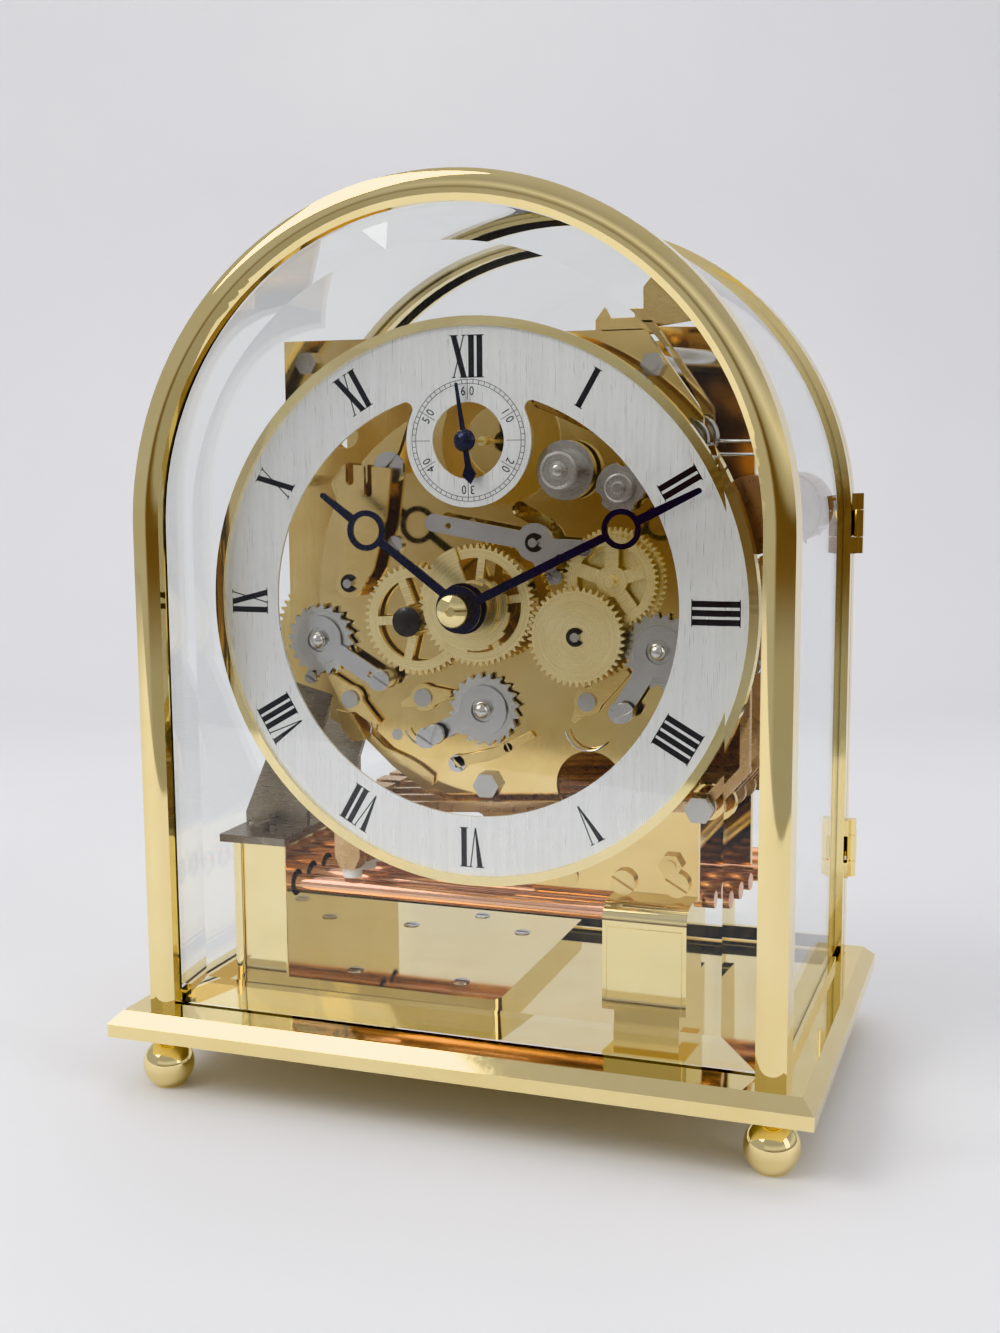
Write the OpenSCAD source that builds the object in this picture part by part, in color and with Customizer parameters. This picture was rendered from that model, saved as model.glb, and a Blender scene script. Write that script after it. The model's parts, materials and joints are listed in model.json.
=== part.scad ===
// Three-train chiming skeleton mantel clock in a brass and glass case.
// Units are millimetres. X runs to the right, Y to the back, Z up.
// The origin is on the table, under the middle of the base.

/* [Base] */
// Width of the base plate
base_w = 238; // [230:1:250]
// Depth of the base plate
base_d = 158; // [150:1:170]
// Height of the turned feet
foot_h = 20; // [16:1:24]
// Thickness of the base plate
base_t = 8.5; // [8:0.5:12]
// Width of the 45 degree chamfer round the top of the base
base_chamfer = 4; // [2:0.5:5]

/* [Case] */
// Outer radius of the arched frames
arch_r = 109; // [107:0.5:110]
// Radial width of the arched frames
frame_w = 9.5; // [8:0.5:10]
// Height of the centre of the arch
arch_z = 191; // [185:1:195]
// Distance of the frame faces from the middle of the base
frame_y = 69; // [68.5:0.1:70]
// Width of the ground bevel of the front glass
bevel_w = 11; // [6:1:14]

/* [Dial] */
// Outer radius of the silvered dial ring
dial_r = 91; // [88:0.5:92]
// Radius of the opening in the dial
dial_open_r = 69.4; // [66:0.2:70]
// Outer radius of the seconds disc
seconds_r = 21.3; // [20:0.1:22]
// Front face of the dial
dial_y = -41; // [-42:0.5:-40.5]

/* [Movement] */
// Thickness of the movement plates
plate_t = 2.5; // [2:0.1:2.5]
// Front face of the front plate
plate_y = -25; // [-25.5:0.1:-25]
// Inner face of the back plate
back_y = 24; // [24:0.5:26]
// Radius of the chime rods
rod_r = 3; // [2.5:0.1:3.2]

/* [Hidden] */
$fn = 96;

// Case
deck_z = foot_h + base_t;
frame_d = 12.5;
foot_inset = 14.5;
rebate_w = 3.5;
glass_front = frame_y - 4.5;
glass_t = 4;
hood_out = arch_r - 2.5;
hood_t = 4;
leg_h = arch_z - deck_z;
door_gap = 0.5;
door_d = 6;
hinge_x = arch_r + 2;
hinge_y = frame_y - door_d - door_gap / 2;
hinge_z = [70, 190];

// Movement centres in X and Z
centre = [0, 166.4];
seconds_c = [0, 219.8];
motion_d = 24.5;
motion_a = 194;
day_a = -15.5;
time_w = [0, 130.7];
strike_w = [-60, 152.4];
chime_w = [60, 152.4];
strike_2 = [-44.6, 174.7];
chime_2 = [44.6, 174.7];
drum_c = [87.5, 196];
chime_phase = 30;
chime_fly_a = 177;
strike_fly_a = 75;
hammer_pivot = [75.3, 103.5];
plate_x = 72.8;
plate_top = 254;
plate_bottom = 70;
plate_in = plate_y + plate_t;

// Tooth counts and modules
cannon_n = 16;
motion_n = 48;
motion_pinion_n = 14;
hour_n = 56;
day_n = 45;
motion_m = 2 * motion_d / (cannon_n + motion_n);
hour_m = 2 * motion_d / (motion_pinion_n + hour_n);
barrel_n = 64;
centre_pinion_n = 16;
barrel_m = 2 * (centre[1] - time_w[1]) / (barrel_n + centre_pinion_n);
side_barrel_n = 54;
side_pinion_n = 12;
side_m = 2 * norm(strike_2 - strike_w) / (side_barrel_n + side_pinion_n);
centre_wheel_n = 75;
third_pinion_n = 10;
centre_m = 0.64;
third_n = 80;
fourth_pinion_n = 10;
third_m = 0.6;
strike_n = 72;
fly_n = 8;
strike_m = 0.6;
chime_n = 48;
idler_n = 40;
drum_n = 36;
chime_m = 0.6;

function polar(r, a) = [r * cos(a), r * sin(a)];
function along(a, b) = atan2(b[1] - a[1], b[0] - a[0]);
function mesh_phase(a, n1, phase1, n2) = a + 180 - (phase1 - a) * n1 / n2 + 180 / n2;
function two_circle(a, ra, b, rb, side) =
    let(d = norm(b - a), x = (ra * ra - rb * rb + d * d) / (2 * d), h = sqrt(ra * ra - x * x),
        u = (b - a) / d)
    a + u * x + side * h * [-u[1], u[0]];

motion_c = centre + polar(motion_d, motion_a);
day_c = centre + polar(hour_m * (hour_n + day_n) / 2, day_a);
third_c = two_circle(centre, centre_m * (centre_wheel_n + third_pinion_n) / 2,
    seconds_c, third_m * (third_n + fourth_pinion_n) / 2, 1);
idler_c = two_circle(chime_2, chime_m * (chime_n + idler_n) / 2,
    drum_c, chime_m * (idler_n + drum_n) / 2, 1);
idler_phase = mesh_phase(along(chime_2, idler_c), chime_n, chime_phase, idler_n);
chime_fly_c = chime_2 + polar(chime_m * (chime_n + fly_n) / 2, chime_fly_a);
strike_fly_c = strike_2 + polar(strike_m * (strike_n + fly_n) / 2, strike_fly_a);

// Rods and hammers
rod_n = 8;
rod_y0 = -31.4;
rod_pitch = 12;
rod_z = 66.3;
function rod_y(i) = rod_y0 + i * rod_pitch;
head_x = -48;
shaft_r = 2;
fit = 0.05;

// A flat sheet facing front, from y = front to y = front + thick
module sheet(front, thick) {
    translate([0, front + thick, 0]) rotate([90, 0, 0]) linear_extrude(thick) children();
}

// A round bar along Y at c = [x, z]
module bar(c, r, front, back) {
    sheet(front, back - front) translate(c) circle(r);
}

// Involute tooth outline, thinned for backlash
function inv(a) = tan(a) - a * PI / 180;
function flank(n, m, r) =
    let(rb = n * m * cos(20) / 2, lean = r > rb ? inv(acos(rb / r)) : 0)
    90 / n * 0.84 + (inv(20) - lean) * 180 / PI;
function tooth(n, m, a) =
    let(p = n * m / 2, root = p - 1.2 * m, low = p - 0.4 * m, high = p + 0.4 * m, tip = p + 0.82 * m)
    [polar(root, a - flank(n, m, root)), polar(low, a - flank(n, m, low)),
     polar(high, a - flank(n, m, high)), polar(tip, a - flank(n, m, tip)),
     polar(tip, a + flank(n, m, tip)), polar(high, a + flank(n, m, high)),
     polar(low, a + flank(n, m, low)), polar(root, a + flank(n, m, root))];
module gear_2d(n, m, phase) {
    polygon([for (i = [0:n - 1]) each tooth(n, m, phase + i * 360 / n)]);
}
// Windows between spokes: an annulus cut by straight arms
module windows(inner, outer, arms, arm_w, turn = 0) {
    difference() {
        circle(outer);
        circle(inner);
        for (i = [0:arms - 1]) rotate(turn + i * 360 / arms)
            translate([0, -arm_w / 2]) square([outer + 1, arm_w]);
    }
}
// Straight bar between two points, with round ends a little wider than the bar
end_swell = 1.05;
module link(a, b, w) {
    translate(a) rotate(along(a, b)) translate([0, -w / 2]) square([norm(b - a), w]);
    translate(a) circle(w / 2 * end_swell);
    translate(b) circle(w / 2 * end_swell);
}
// Sweep of a section round the arch; the section is drawn as radius against depth
module arch() {
    translate([0, 0, arch_z]) rotate([90, 0, 0]) rotate_extrude(angle = 180) children();
}
// The same section run straight down both legs
module legs(bottom) {
    for (s = [0, 1]) mirror([s, 0, 0]) mirror([0, 1, 0])
        translate([0, 0, bottom]) linear_extrude(arch_z - bottom) children();
}

// ---- case ----
module base_plate() {
    color("gold") difference() {
        union() {
            intersection() {
                translate([0, base_d / 2, 0]) rotate([90, 0, 0]) linear_extrude(base_d)
                    chamfered(base_w);
                rotate([0, 0, 90]) translate([0, base_w / 2, 0]) rotate([90, 0, 0])
                    linear_extrude(base_w) chamfered(base_d);
            }
            for (s = [-1, 1]) translate([s * (hood_out - hood_t / 2) - 3.5, -50, deck_z])
                cube([7, 100, 3]);
        }
        for (s = [-1, 1]) translate([s * (hood_out - hood_t / 2) - hood_t / 2, -51, deck_z + 0.5])
            cube([hood_t, 102, 4]);
        for (x = [-1, 1], y = [-1, 1])
            translate([x * (base_w / 2 - foot_inset), y * (base_d / 2 - foot_inset), foot_h - 1])
                cylinder(r = 2, h = 6);
    }
}
module chamfered(w) {
    polygon([[-w / 2, foot_h], [w / 2, foot_h], [w / 2, deck_z - base_chamfer],
        [w / 2 - base_chamfer, deck_z], [-w / 2 + base_chamfer, deck_z],
        [-w / 2, deck_z - base_chamfer]]);
}
module base_feet() {
    color("goldenrod") for (x = [-1, 1], y = [-1, 1])
        translate([x * (base_w / 2 - foot_inset), y * (base_d / 2 - foot_inset), 0]) {
            rotate_extrude() union() {
                intersection() {
                    translate([0, 7.6]) circle(8.8);
                    square([9, 15.5]);
                }
                square([5, 1.6]);
                translate([0, 14]) square([4.2, 3]);
                translate([0, 16.4]) square([6.4, foot_h - 16.4]);
            }
            translate([0, 0, foot_h - 0.5]) cylinder(r = 2, h = 5);
        }
}
module front_frame() {
    color("gold") {
        arch() d_section();
        legs(deck_z) d_section();
    }
}
// D section of the front frame, with the glass rebate cut from its back inner corner
module d_section() {
    inner = arch_r - frame_w;
    difference() {
        translate([inner, frame_y - frame_d]) square([frame_w, frame_d]);
        difference() {
            translate([inner - 1, frame_y - 5]) square([frame_w + 2, 6]);
            translate([arch_r - frame_w / 2, frame_y - 8.5]) circle(8.5);
        }
        translate([0, frame_y - frame_d - 1]) square([inner + rebate_w, glass_front - frame_y + frame_d + 1]);
    }
}
// Plan of the ground edge of a glass: full thickness inside, thinned over the bevel
module bevel_section(reach) {
    front = glass_front;
    polygon([[0, front - glass_t], [reach, front - glass_t], [reach, front - 1.8],
        [reach - rebate_w, front - 1.8], [reach - rebate_w - bevel_w, front], [0, front]]);
}
module front_glass() {
    reach = arch_r - frame_w + rebate_w;
    color("lightcyan", 0.35) {
        arch() bevel_section(reach);
        intersection() {
            legs(deck_z + 0.5) bevel_section(reach);
            translate([-reach, 0, deck_z + 0.5]) rotate([90, 0, 90]) linear_extrude(2 * reach)
                polygon([[-glass_front + 1.8, 0], [-glass_front + glass_t, 0],
                    [-glass_front + glass_t, leg_h], [-glass_front, leg_h],
                    [-glass_front, bevel_w]]);
        }
    }
}
module hood_section() {
    translate([hood_out - hood_t, -(frame_y - frame_d)]) square([hood_t, 2 * (frame_y - frame_d)]);
}
module hood_glass() {
    color("lightcyan", 0.35) {
        arch() hood_section();
        for (s = [0, 1]) mirror([s, 0, 0]) {
            translate([hood_out - hood_t, -(frame_y - frame_d), deck_z + 3.1])
                cube([hood_t, 2 * (frame_y - frame_d), arch_z - deck_z - 3.1]);
            translate([hood_out - hood_t, -49.9, deck_z + 0.6]) cube([hood_t, 99.8, 3]);
        }
    }
}
module rear_section() {
    translate([arch_r - 8, -(frame_y - door_d - door_gap)])
        square([8, frame_d - door_d - door_gap]);
}
module rear_frame() {
    color("gold") {
        arch() rear_section();
        legs(deck_z) rear_section();
    }
}
module door_section() {
    difference() {
        translate([arch_r - frame_w, -frame_y]) square([frame_w, door_d]);
        translate([arch_r - frame_w - 1, -frame_y + 2.2]) square([1 + rebate_w, door_d]);
    }
}
module door_frame() {
    color("gold") difference() {
        union() {
            arch() door_section();
            legs(deck_z + 0.8) door_section();
            translate([-arch_r + frame_w / 2, frame_y - 2.2, deck_z + 0.8])
                cube([2 * arch_r - frame_w, 2.2, 5]);
            for (z = hinge_z) {
                translate([arch_r - 3, frame_y - 1.5, z - 4.8])
                    cube([hinge_x + 4.3 - arch_r, 1.5, 9.6]);
                translate([hinge_x, hinge_y, z - 4.8]) cube([1.3, frame_y - hinge_y, 9.6]);
                translate([hinge_x, hinge_y, z - 4.8]) cylinder(r = 1.7, h = 9.6);
            }
        }
        for (z = hinge_z) translate([hinge_x, hinge_y, z - 6]) cylinder(r = 0.8 + fit, h = 12);
        translate([-arch_r + frame_w / 2, frame_y - 3, 150]) rotate([-90, 0, 0]) cylinder(r = 1, h = 4);
    }
}
module door_glass() {
    reach = arch_r - frame_w + rebate_w - 0.2;
    color("lightcyan", 0.35) sheet(frame_y - door_d + 0.4, 3.4) union() {
        intersection() {
            translate([0, arch_z]) circle(reach);
            translate([-reach, arch_z]) square([2 * reach, reach]);
        }
        translate([-reach, deck_z + 1.5]) square([2 * reach, leg_h - 1.5]);
    }
}
module door_hinges() {
    color("darkgoldenrod") for (z = hinge_z) {
        for (s = [-1, 1]) translate([0, 0, z + s * 7.9]) {
            translate([hinge_x, hinge_y, -2.9]) cylinder(r = 1.7, h = 5.8);
            translate([arch_r, hinge_y - 4.6, -2.9]) cube([1.5, 4.6, 5.8]);
        }
        translate([hinge_x, hinge_y, z - 10.8]) cylinder(r = 0.8, h = 21.6);
    }
}
module door_knob() {
    color("goldenrod") translate([-arch_r + frame_w / 2, frame_y, 150]) rotate([-90, 0, 0]) {
        rotate_extrude() union() {
            square([1.6, 4]);
            square([2.6, 0.8]);
            translate([0, 5]) intersection() {
                circle(3.6);
                translate([0, -2.4]) square([4, 5]);
            }
        }
        translate([0, 0, -2]) cylinder(r = 1, h = 3);
    }
}

// ---- stand for the movement and the chime rods ----
stand_x0 = -92.7;
wall_x1 = -69.5;
stand_x1 = 8.7;
stand_y0 = -40;
stand_y1 = 57.5;
deck_t = 6;
wall_top = 81.3;
module movement_stand() {
    color("gold") difference() {
        union() {
            linear_plan(deck_z, deck_z + deck_t) stand_plan(stand_x1);
            linear_plan(deck_z + deck_t, wall_top) stand_plan(wall_x1);
        }
        for (i = [0:rod_n - 1]) translate([stand_x0 - 1, rod_y(i), rod_z]) rotate([0, 90, 0])
            cylinder(r = 4.7, h = 30);
        translate([stand_x0 + 5, 0, wall_top - 8]) for (y = [-30, 45]) translate([3, y, 0])
            cylinder(r = 1.5, h = 9);
    }
}
module linear_plan(z0, z1) {
    translate([0, 0, z0]) linear_extrude(z1 - z0) children();
}
// Plan of the stand with its front corners rounded
module stand_plan(x1) {
    left_r = 7;
    right_r = x1 > 0 ? 4 : 0.6;
    difference() {
        translate([stand_x0, stand_y0]) square([x1 - stand_x0, stand_y1 - stand_y0]);
        corner([stand_x0, stand_y0], left_r, 0);
        corner([x1, stand_y0], right_r, 1);
    }
}
module corner(at, r, flip) {
    translate(at) mirror([flip, 0]) difference() {
        translate([-1, -1]) square(r + 1);
        translate([r, r]) circle(r);
    }
}
module seat_bracket() {
    color("dimgray") {
        translate([stand_x0 - 1.8, stand_y0 - 1, wall_top])
            cube([wall_x1 - stand_x0 + 2.2, stand_y1 - stand_y0, 2.7]);
        for (front = [plate_in, back_y - 2.5]) sheet(front, 2.5)
            polygon([[-94, wall_top + 2.7], [-94, wall_top + 7], [-71, 141], [-58, 141],
                [-58, 134], [-69.6, wall_top + 20], [-69.6, wall_top + 2.7]]);
        for (y = [-30, 45]) translate([stand_x0 + 8, y, 0]) {
            translate([0, 0, wall_top + 2.7]) cylinder(r = 3.6, h = 3);
            translate([0, 0, wall_top - 6]) cylinder(r = 1.5, h = 7);
        }
    }
}
block_x0 = 43.5;
block_x1 = 71.5;
block_y0 = -36;
module gong_blocks() {
    color("gold") difference() {
        union() {
            translate([block_x0, 0, 0]) rotate([90, 0, 90]) linear_extrude(block_x1 - block_x0)
                difference() {
                    translate([block_y0, deck_z + deck_t])
                        square([23, plate_bottom - deck_z - deck_t]);
                    translate([block_y0, plate_bottom]) mirror([0, 1]) corner([0, 0], 6, 0);
                }
            translate([block_x0 + 3, block_y0 + 4, deck_z]) cube([22, 16, deck_t]);
        }
        for (i = [0:1]) translate([block_x0 - 1, rod_y(i), rod_z]) rotate([0, 90, 0])
            cylinder(r = rod_r, h = 17);
    }
    color("darkgoldenrod") difference() {
        union() {
            translate([42, -11.5, deck_z + deck_t]) cube([16, 68, plate_bottom - deck_z - deck_t]);
            translate([44, -8, deck_z]) cube([12, 60, deck_t]);
        }
        for (i = [2:rod_n - 1]) translate([41, rod_y(i), rod_z]) rotate([0, 90, 0])
            cylinder(r = rod_r, h = 18);
    }
}
module chime_rods() {
    color("peru") for (i = [0:rod_n - 1]) translate([-88, rod_y(i), rod_z]) rotate([0, 90, 0])
        cylinder(r = rod_r, h = (i < 2 ? block_x0 + 16 : 75) + 88);
}

// ---- dial and hands ----
dial_t = 1;
function lobe() =
    let(r = 2.4, up = seconds_c[1] - centre[1], a = dial_open_r - r, b = seconds_r + r,
        z = (a * a - b * b + up * up) / (2 * up))
    [sqrt(a * a - z * z), z];
module dial_opening() {
    up = seconds_c[1] - centre[1];
    l = lobe();
    on_ring = l * dial_open_r / norm(l);
    on_disc = [0, up] + (l - [0, up]) * seconds_r / norm(l - [0, up]);
    difference() {
        circle(dial_open_r);
        translate([0, up]) circle(seconds_r);
        polygon([[-on_ring[0], on_ring[1]], [-on_disc[0], on_disc[1]], on_disc, on_ring, [0, 80]]);
    }
    for (s = [-1, 1]) translate([s * l[0], l[1]]) circle(2.4);
    translate([0, up]) circle(12.2);
}
dial_feet_a = [150, 30, -60];
module dial_ring() {
    color("silver") {
        sheet(dial_y, dial_t) translate(centre) difference() {
            circle(dial_r);
            dial_opening();
        }
        for (a = dial_feet_a) bar(centre + polar(81, a), 2, dial_y + dial_t - 0.2, plate_y);
    }
}
module dial_bezel() {
    color("darkgoldenrod") translate([0, 0, centre[1]]) rotate([90, 0, 0]) rotate_extrude()
        difference() {
            translate([dial_r - 1.5, -dial_y - 2.4]) square([3, 3.6]);
            translate([dial_r - 3, -dial_y - 3]) square([3, 3]);
            translate([dial_r - 1.5, -dial_y + 1.2]) rotate(45) square([3, 0.8]);
        }
}
// Outline of a hand pointing up: hub, stem, open circle and tapered tip
module hand_2d(stem, ring_at, tip_at, hub, ring_out, ring_in, stem_w) {
    difference() {
        union() {
            circle(hub);
            polygon([[-stem_w / 2, 0], [stem_w / 2, 0], [stem_w * 0.42, ring_at], [-stem_w * 0.42, ring_at]]);
            translate([0, ring_at]) circle(ring_out);
            polygon([[-stem_w * 0.55, ring_at], [stem_w * 0.55, ring_at], [0.9, tip_at], [-0.9, tip_at]]);
            translate([0, tip_at]) circle(0.9);
        }
        translate([0, ring_at]) circle(ring_in);
    }
}
hour_turn = 53.5;
minute_turn = -64;
second_turn = 8.5;
hour_hand_y = -47.5;
minute_hand_y = -51.3;
module hour_hand() {
    color("midnightblue") sheet(hour_hand_y, 1) translate(centre) difference() {
        rotate(hour_turn) hand_2d(0, 41.5, 60.5, 8.2, 6.6, 4.7, 3);
        circle(3.3);
    }
}
module minute_hand() {
    color("midnightblue") sheet(minute_hand_y, 1) translate(centre) difference() {
        rotate(minute_turn) hand_2d(0, 59.5, 86, 7.6, 6.2, 4.5, 3);
        circle(2);
    }
}
module seconds_hand() {
    color("royalblue") {
        sheet(-44.4, 0.6) translate(seconds_c) difference() {
            rotate(second_turn) union() {
                circle(3.6);
                polygon([[-0.9, 0], [0.9, 0], [0.45, 18.3], [-0.45, 18.3]]);
                polygon([[-0.8, 0], [0.8, 0], [1, -8], [2.4, -11], [0, -14], [-2.4, -11], [-1, -8]]);
            }
            circle(0.6);
        }
        translate([seconds_c[0], -44.4, seconds_c[1]]) rotate([90, 0, 0]) rotate_extrude()
            difference() {
                intersection() {
                    translate([0, -2.2]) circle(4.2);
                    translate([0, 0]) square([4, 3]);
                }
                translate([-1, -1]) square([1.6, 1.9]);
            }
    }
}
module hand_nut() {
    color("gold") sheet(minute_hand_y - 5.6, 5.6) translate(centre) difference() {
        polygon([for (i = [0:79]) polar(i % 2 == 0 ? 5.4 : 5.05, i * 4.5)]);
        circle(1.3);
    }
}

// ---- plates ----
module plate_outline() {
    polygon([[-plate_x, plate_top], [54, plate_top], [plate_x, 228], [plate_x, plate_bottom],
        [16, plate_bottom], [-2, 94], [-20, 103], [-44, 124], [-58, 133], [-plate_x, 137]]);
    translate(hammer_pivot) circle(6);
}
module plate_bores() {
    for (c = [time_w, strike_w, chime_w]) translate(c) circle(3 + fit);
    translate(centre) circle(2.6 + fit);
    translate(hammer_pivot) circle(shaft_r);
    for (c = [third_c, strike_fly_c, chime_fly_c, idler_c]) translate(c) circle(1.2 + fit);
    translate(drum_c) circle(1.6 + fit);
    for (c = [strike_2, chime_2]) translate(c) circle(1.6 + fit);
    translate(seconds_c) circle(1.5 + fit);
    for (c = concat(pillar_c, [flush_pillar_c])) translate(c) circle(2);
}
pillar_c = [[-63.5, 246.5], [57, 243], [64, 82]];
flush_pillar_c = [-33, 120];
module drum_ear() {
    difference() {
        link([69, 204], drum_c, 8);
        plate_bores();
    }
}
module front_plate() {
    color("gold") sheet(plate_in - 0.1, 1.7) drum_ear();
    color("gold") sheet(plate_y, plate_t) difference() {
        plate_outline();
        plate_bores();
        translate(motion_c) circle(1.2 + fit);
        translate(day_c) circle(1.5);
        translate([36, 106.5]) circle(11.5);
        translate([19.4, 187]) circle(1.5);
        translate([-47, 172.4]) circle(1.5);
        for (c = roller_c) translate(c) circle(1.5);
        // openings that lighten the plate behind the dial
        link([-27, 214], [-22, 228], 9);
        link([-50, 222], [-54, 232], 8);
        link([12, 197.5], [22, 192], 5);
        link([38, 226], [20, 234], 8);
        translate([24, 150]) circle(3.2);
    }
}
module back_plate() {
    color("gold") sheet(back_y, plate_t) difference() {
        union() {
            plate_outline();
            drum_ear();
        }
        plate_bores();
        for (c = [[-20, 225], [22, 208]]) translate(c) circle(7);
        link([-30, 140], [-22, 128], 9);
        link([30, 140], [22, 128], 9);
    }
}
module plate_pillars() {
    color("silver") {
        for (c = pillar_c) {
            bar(c, 3.6, plate_in, back_y);
            bar(c, 2, plate_y - 3.6, plate_in + 1);
            bar(c, 2, back_y - 1, back_y + plate_t + 3.6);
        }
        bar(flush_pillar_c, 3.6, plate_in, back_y);
        bar(flush_pillar_c, 2, plate_y, back_y + plate_t);
        bar(hammer_pivot, shaft_r, -38, 57);
    }
}
module hex_head(c, across, front, back) {
    sheet(front, back - front) translate(c) circle(across / sqrt(3), $fn = 6);
}
// Nuts and screws of the plates
module plate_screws() {
    color("lightgray") {
        for (c = pillar_c) {
            nut(c, 7, plate_y - 3, plate_y);
            nut(c, 7, back_y + plate_t, back_y + plate_t + 3);
        }
        nut(hammer_pivot, 8, -38, -34.5);
        hex_head([0.5, 104.7], 8, plate_y - 3.6, plate_y);
        for (c = [[48, 75], [66, 75.6]]) slotted(c, 4.2, plate_y - 2.4, plate_y);
        bar([28.5, 75], 3.6, plate_y - 0.8, plate_y);
        for (c = [[-65, 138.8]]) slotted(c, 2.2, plate_y - 1.6, plate_y);
    }
}
module nut(c, across, front, back) {
    sheet(front, back - front) translate(c) difference() {
        circle(across / sqrt(3), $fn = 6);
        circle(2);
    }
}
module slotted(c, r, front, back) {
    difference() {
        bar(c, r, front, back);
        sheet(front - 1, 2) translate(c) rotate(-30) translate([-r - 1, -0.5]) square([2 * r + 2, 1]);
    }
}

// ---- time train ----
rim_y = -16.5;
chime_y = 20.6;
rim_t = 2.5;
module wheel(c, n, m, phase, front, thick, bore) {
    sheet(front, thick) translate(c) difference() {
        gear_2d(n, m, phase);
        circle(bore);
    }
}
module minute_arbor() {
    color("goldenrod") {
        wheel(centre, cannon_n, motion_m, motion_a, -29, 3, 1);
        bar(centre, 2.6, -26, 26.4);
        wheel(centre, centre_pinion_n, barrel_m, mesh_phase(90, barrel_n, 90, centre_pinion_n), -17.2, 4, 1);
        sheet(15, 1.8) translate(centre) difference() {
            gear_2d(centre_wheel_n, centre_m, along(centre, third_c));
            windows(6, 19.5, 5, 3.4, 18);
        }
        bar(centre, 2, -50.3, -26);
        bar(centre, 2.9, -50.2, -46);
        bar(centre, 1.3, -57.6, -50.3);
    }
}
module minute_wheel() {
    a = motion_a;
    color("goldenrod") {
        sheet(-28.6, 1.8) translate(motion_c) difference() {
            gear_2d(motion_n, motion_m, mesh_phase(a, cannon_n, motion_a, motion_n));
            windows(5, 14.2, 5, 3, 40);
        }
        wheel(motion_c, motion_pinion_n, hour_m, a + 180, -36, 7.5, 0.8);
        bar(motion_c, 4.2, -37, -36);
        bar(motion_c, 1.2, -38.2, plate_in - 0.2);
    }
}
// Radius of the snail: twelve steps, one for each hour
function snail_r(i) = 8.5 + i * 1.05;
module hour_wheel() {
    color("goldenrod") difference() {
        union() {
            sheet(-35, 1.6) translate(centre) difference() {
                gear_2d(hour_n, hour_m, mesh_phase(motion_a + 180, motion_pinion_n, motion_a + 180, hour_n));
                windows(8, 15.6, 5, 2.6, 10);
            }
            sheet(-37, 1.4) translate(centre) for (i = [0:11]) rotate(80 - i * 30)
                intersection() {
                    circle(snail_r(i));
                    polygon([[0, 0], polar(40, 0), polar(40, 30.5)]);
                }
            sheet(-38.6, 1.2) translate(centre) for (i = [0:3]) rotate(60 - i * 90)
                intersection() {
                    circle(7.5 + i * 1.2);
                    polygon([[0, 0], polar(40, 0), polar(40, 45), polar(40, 90.5)]);
                }
            sheet(-37.6, 2.8) translate(centre) circle(6);
            sheet(-46.6, 11.6) translate(centre) circle(3.3);
            sheet(-46.4, 3) translate(centre) circle(4.4);
        }
        bar(centre, 2 + fit, -48, -30);
        bar(centre, 3 + fit, -48, -45.9);
    }
}
module day_wheel() {
    color("goldenrod") {
        difference() {
            wheel(day_c, day_n, hour_m, mesh_phase(day_a, hour_n,
                mesh_phase(motion_a + 180, motion_pinion_n, motion_a + 180, hour_n), day_n), -35, 1.6, 0);
            bar(day_c, 1.5 + fit, -36, -30);
        }
        difference() {
            bar(day_c, 3.4, -33.4, -31);
            bar(day_c, 1.5 + fit, -36, -30);
        }
    }
}
module third_wheel() {
    color("goldenrod") {
        wheel(third_c, third_pinion_n, centre_m, mesh_phase(along(centre, third_c), centre_wheel_n,
            along(centre, third_c), third_pinion_n), 14.2, 3.4, 0.5);
        sheet(-12.5, 1.5) translate(third_c) difference() {
            gear_2d(third_n, third_m, along(third_c, seconds_c));
            windows(5, 20, 5, 3, 0);
        }
        bar(third_c, 1.2, plate_y + 0.3, back_y + plate_t - 0.3);
    }
}
crown_y = 2;
crown_r = 18;
crown_n = 70;
module seconds_arbor() {
    color("goldenrod") {
        wheel(seconds_c, fourth_pinion_n, third_m, mesh_phase(along(third_c, seconds_c), third_n,
            along(third_c, seconds_c), fourth_pinion_n), -13, 2.6, 0.5);
        bar(seconds_c, 1.5, -28, back_y + plate_t - 0.3);
        bar(seconds_c, 0.6, -44.9, -28);
        sheet(crown_y, 1.4) translate(seconds_c) difference() {
            circle(crown_r + 0.6);
            windows(4, 14.6, 4, 3, 45);
        }
        sheet(crown_y + 1.4, 1.6) translate(seconds_c) intersection() {
            difference() {
                circle(crown_r + 0.6);
                circle(crown_r - 0.8);
            }
            for (i = [0:crown_n - 1]) rotate(i * 360 / crown_n)
                translate([crown_r - 2, -0.36]) square([4, 0.72]);
        }
    }
}
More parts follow.
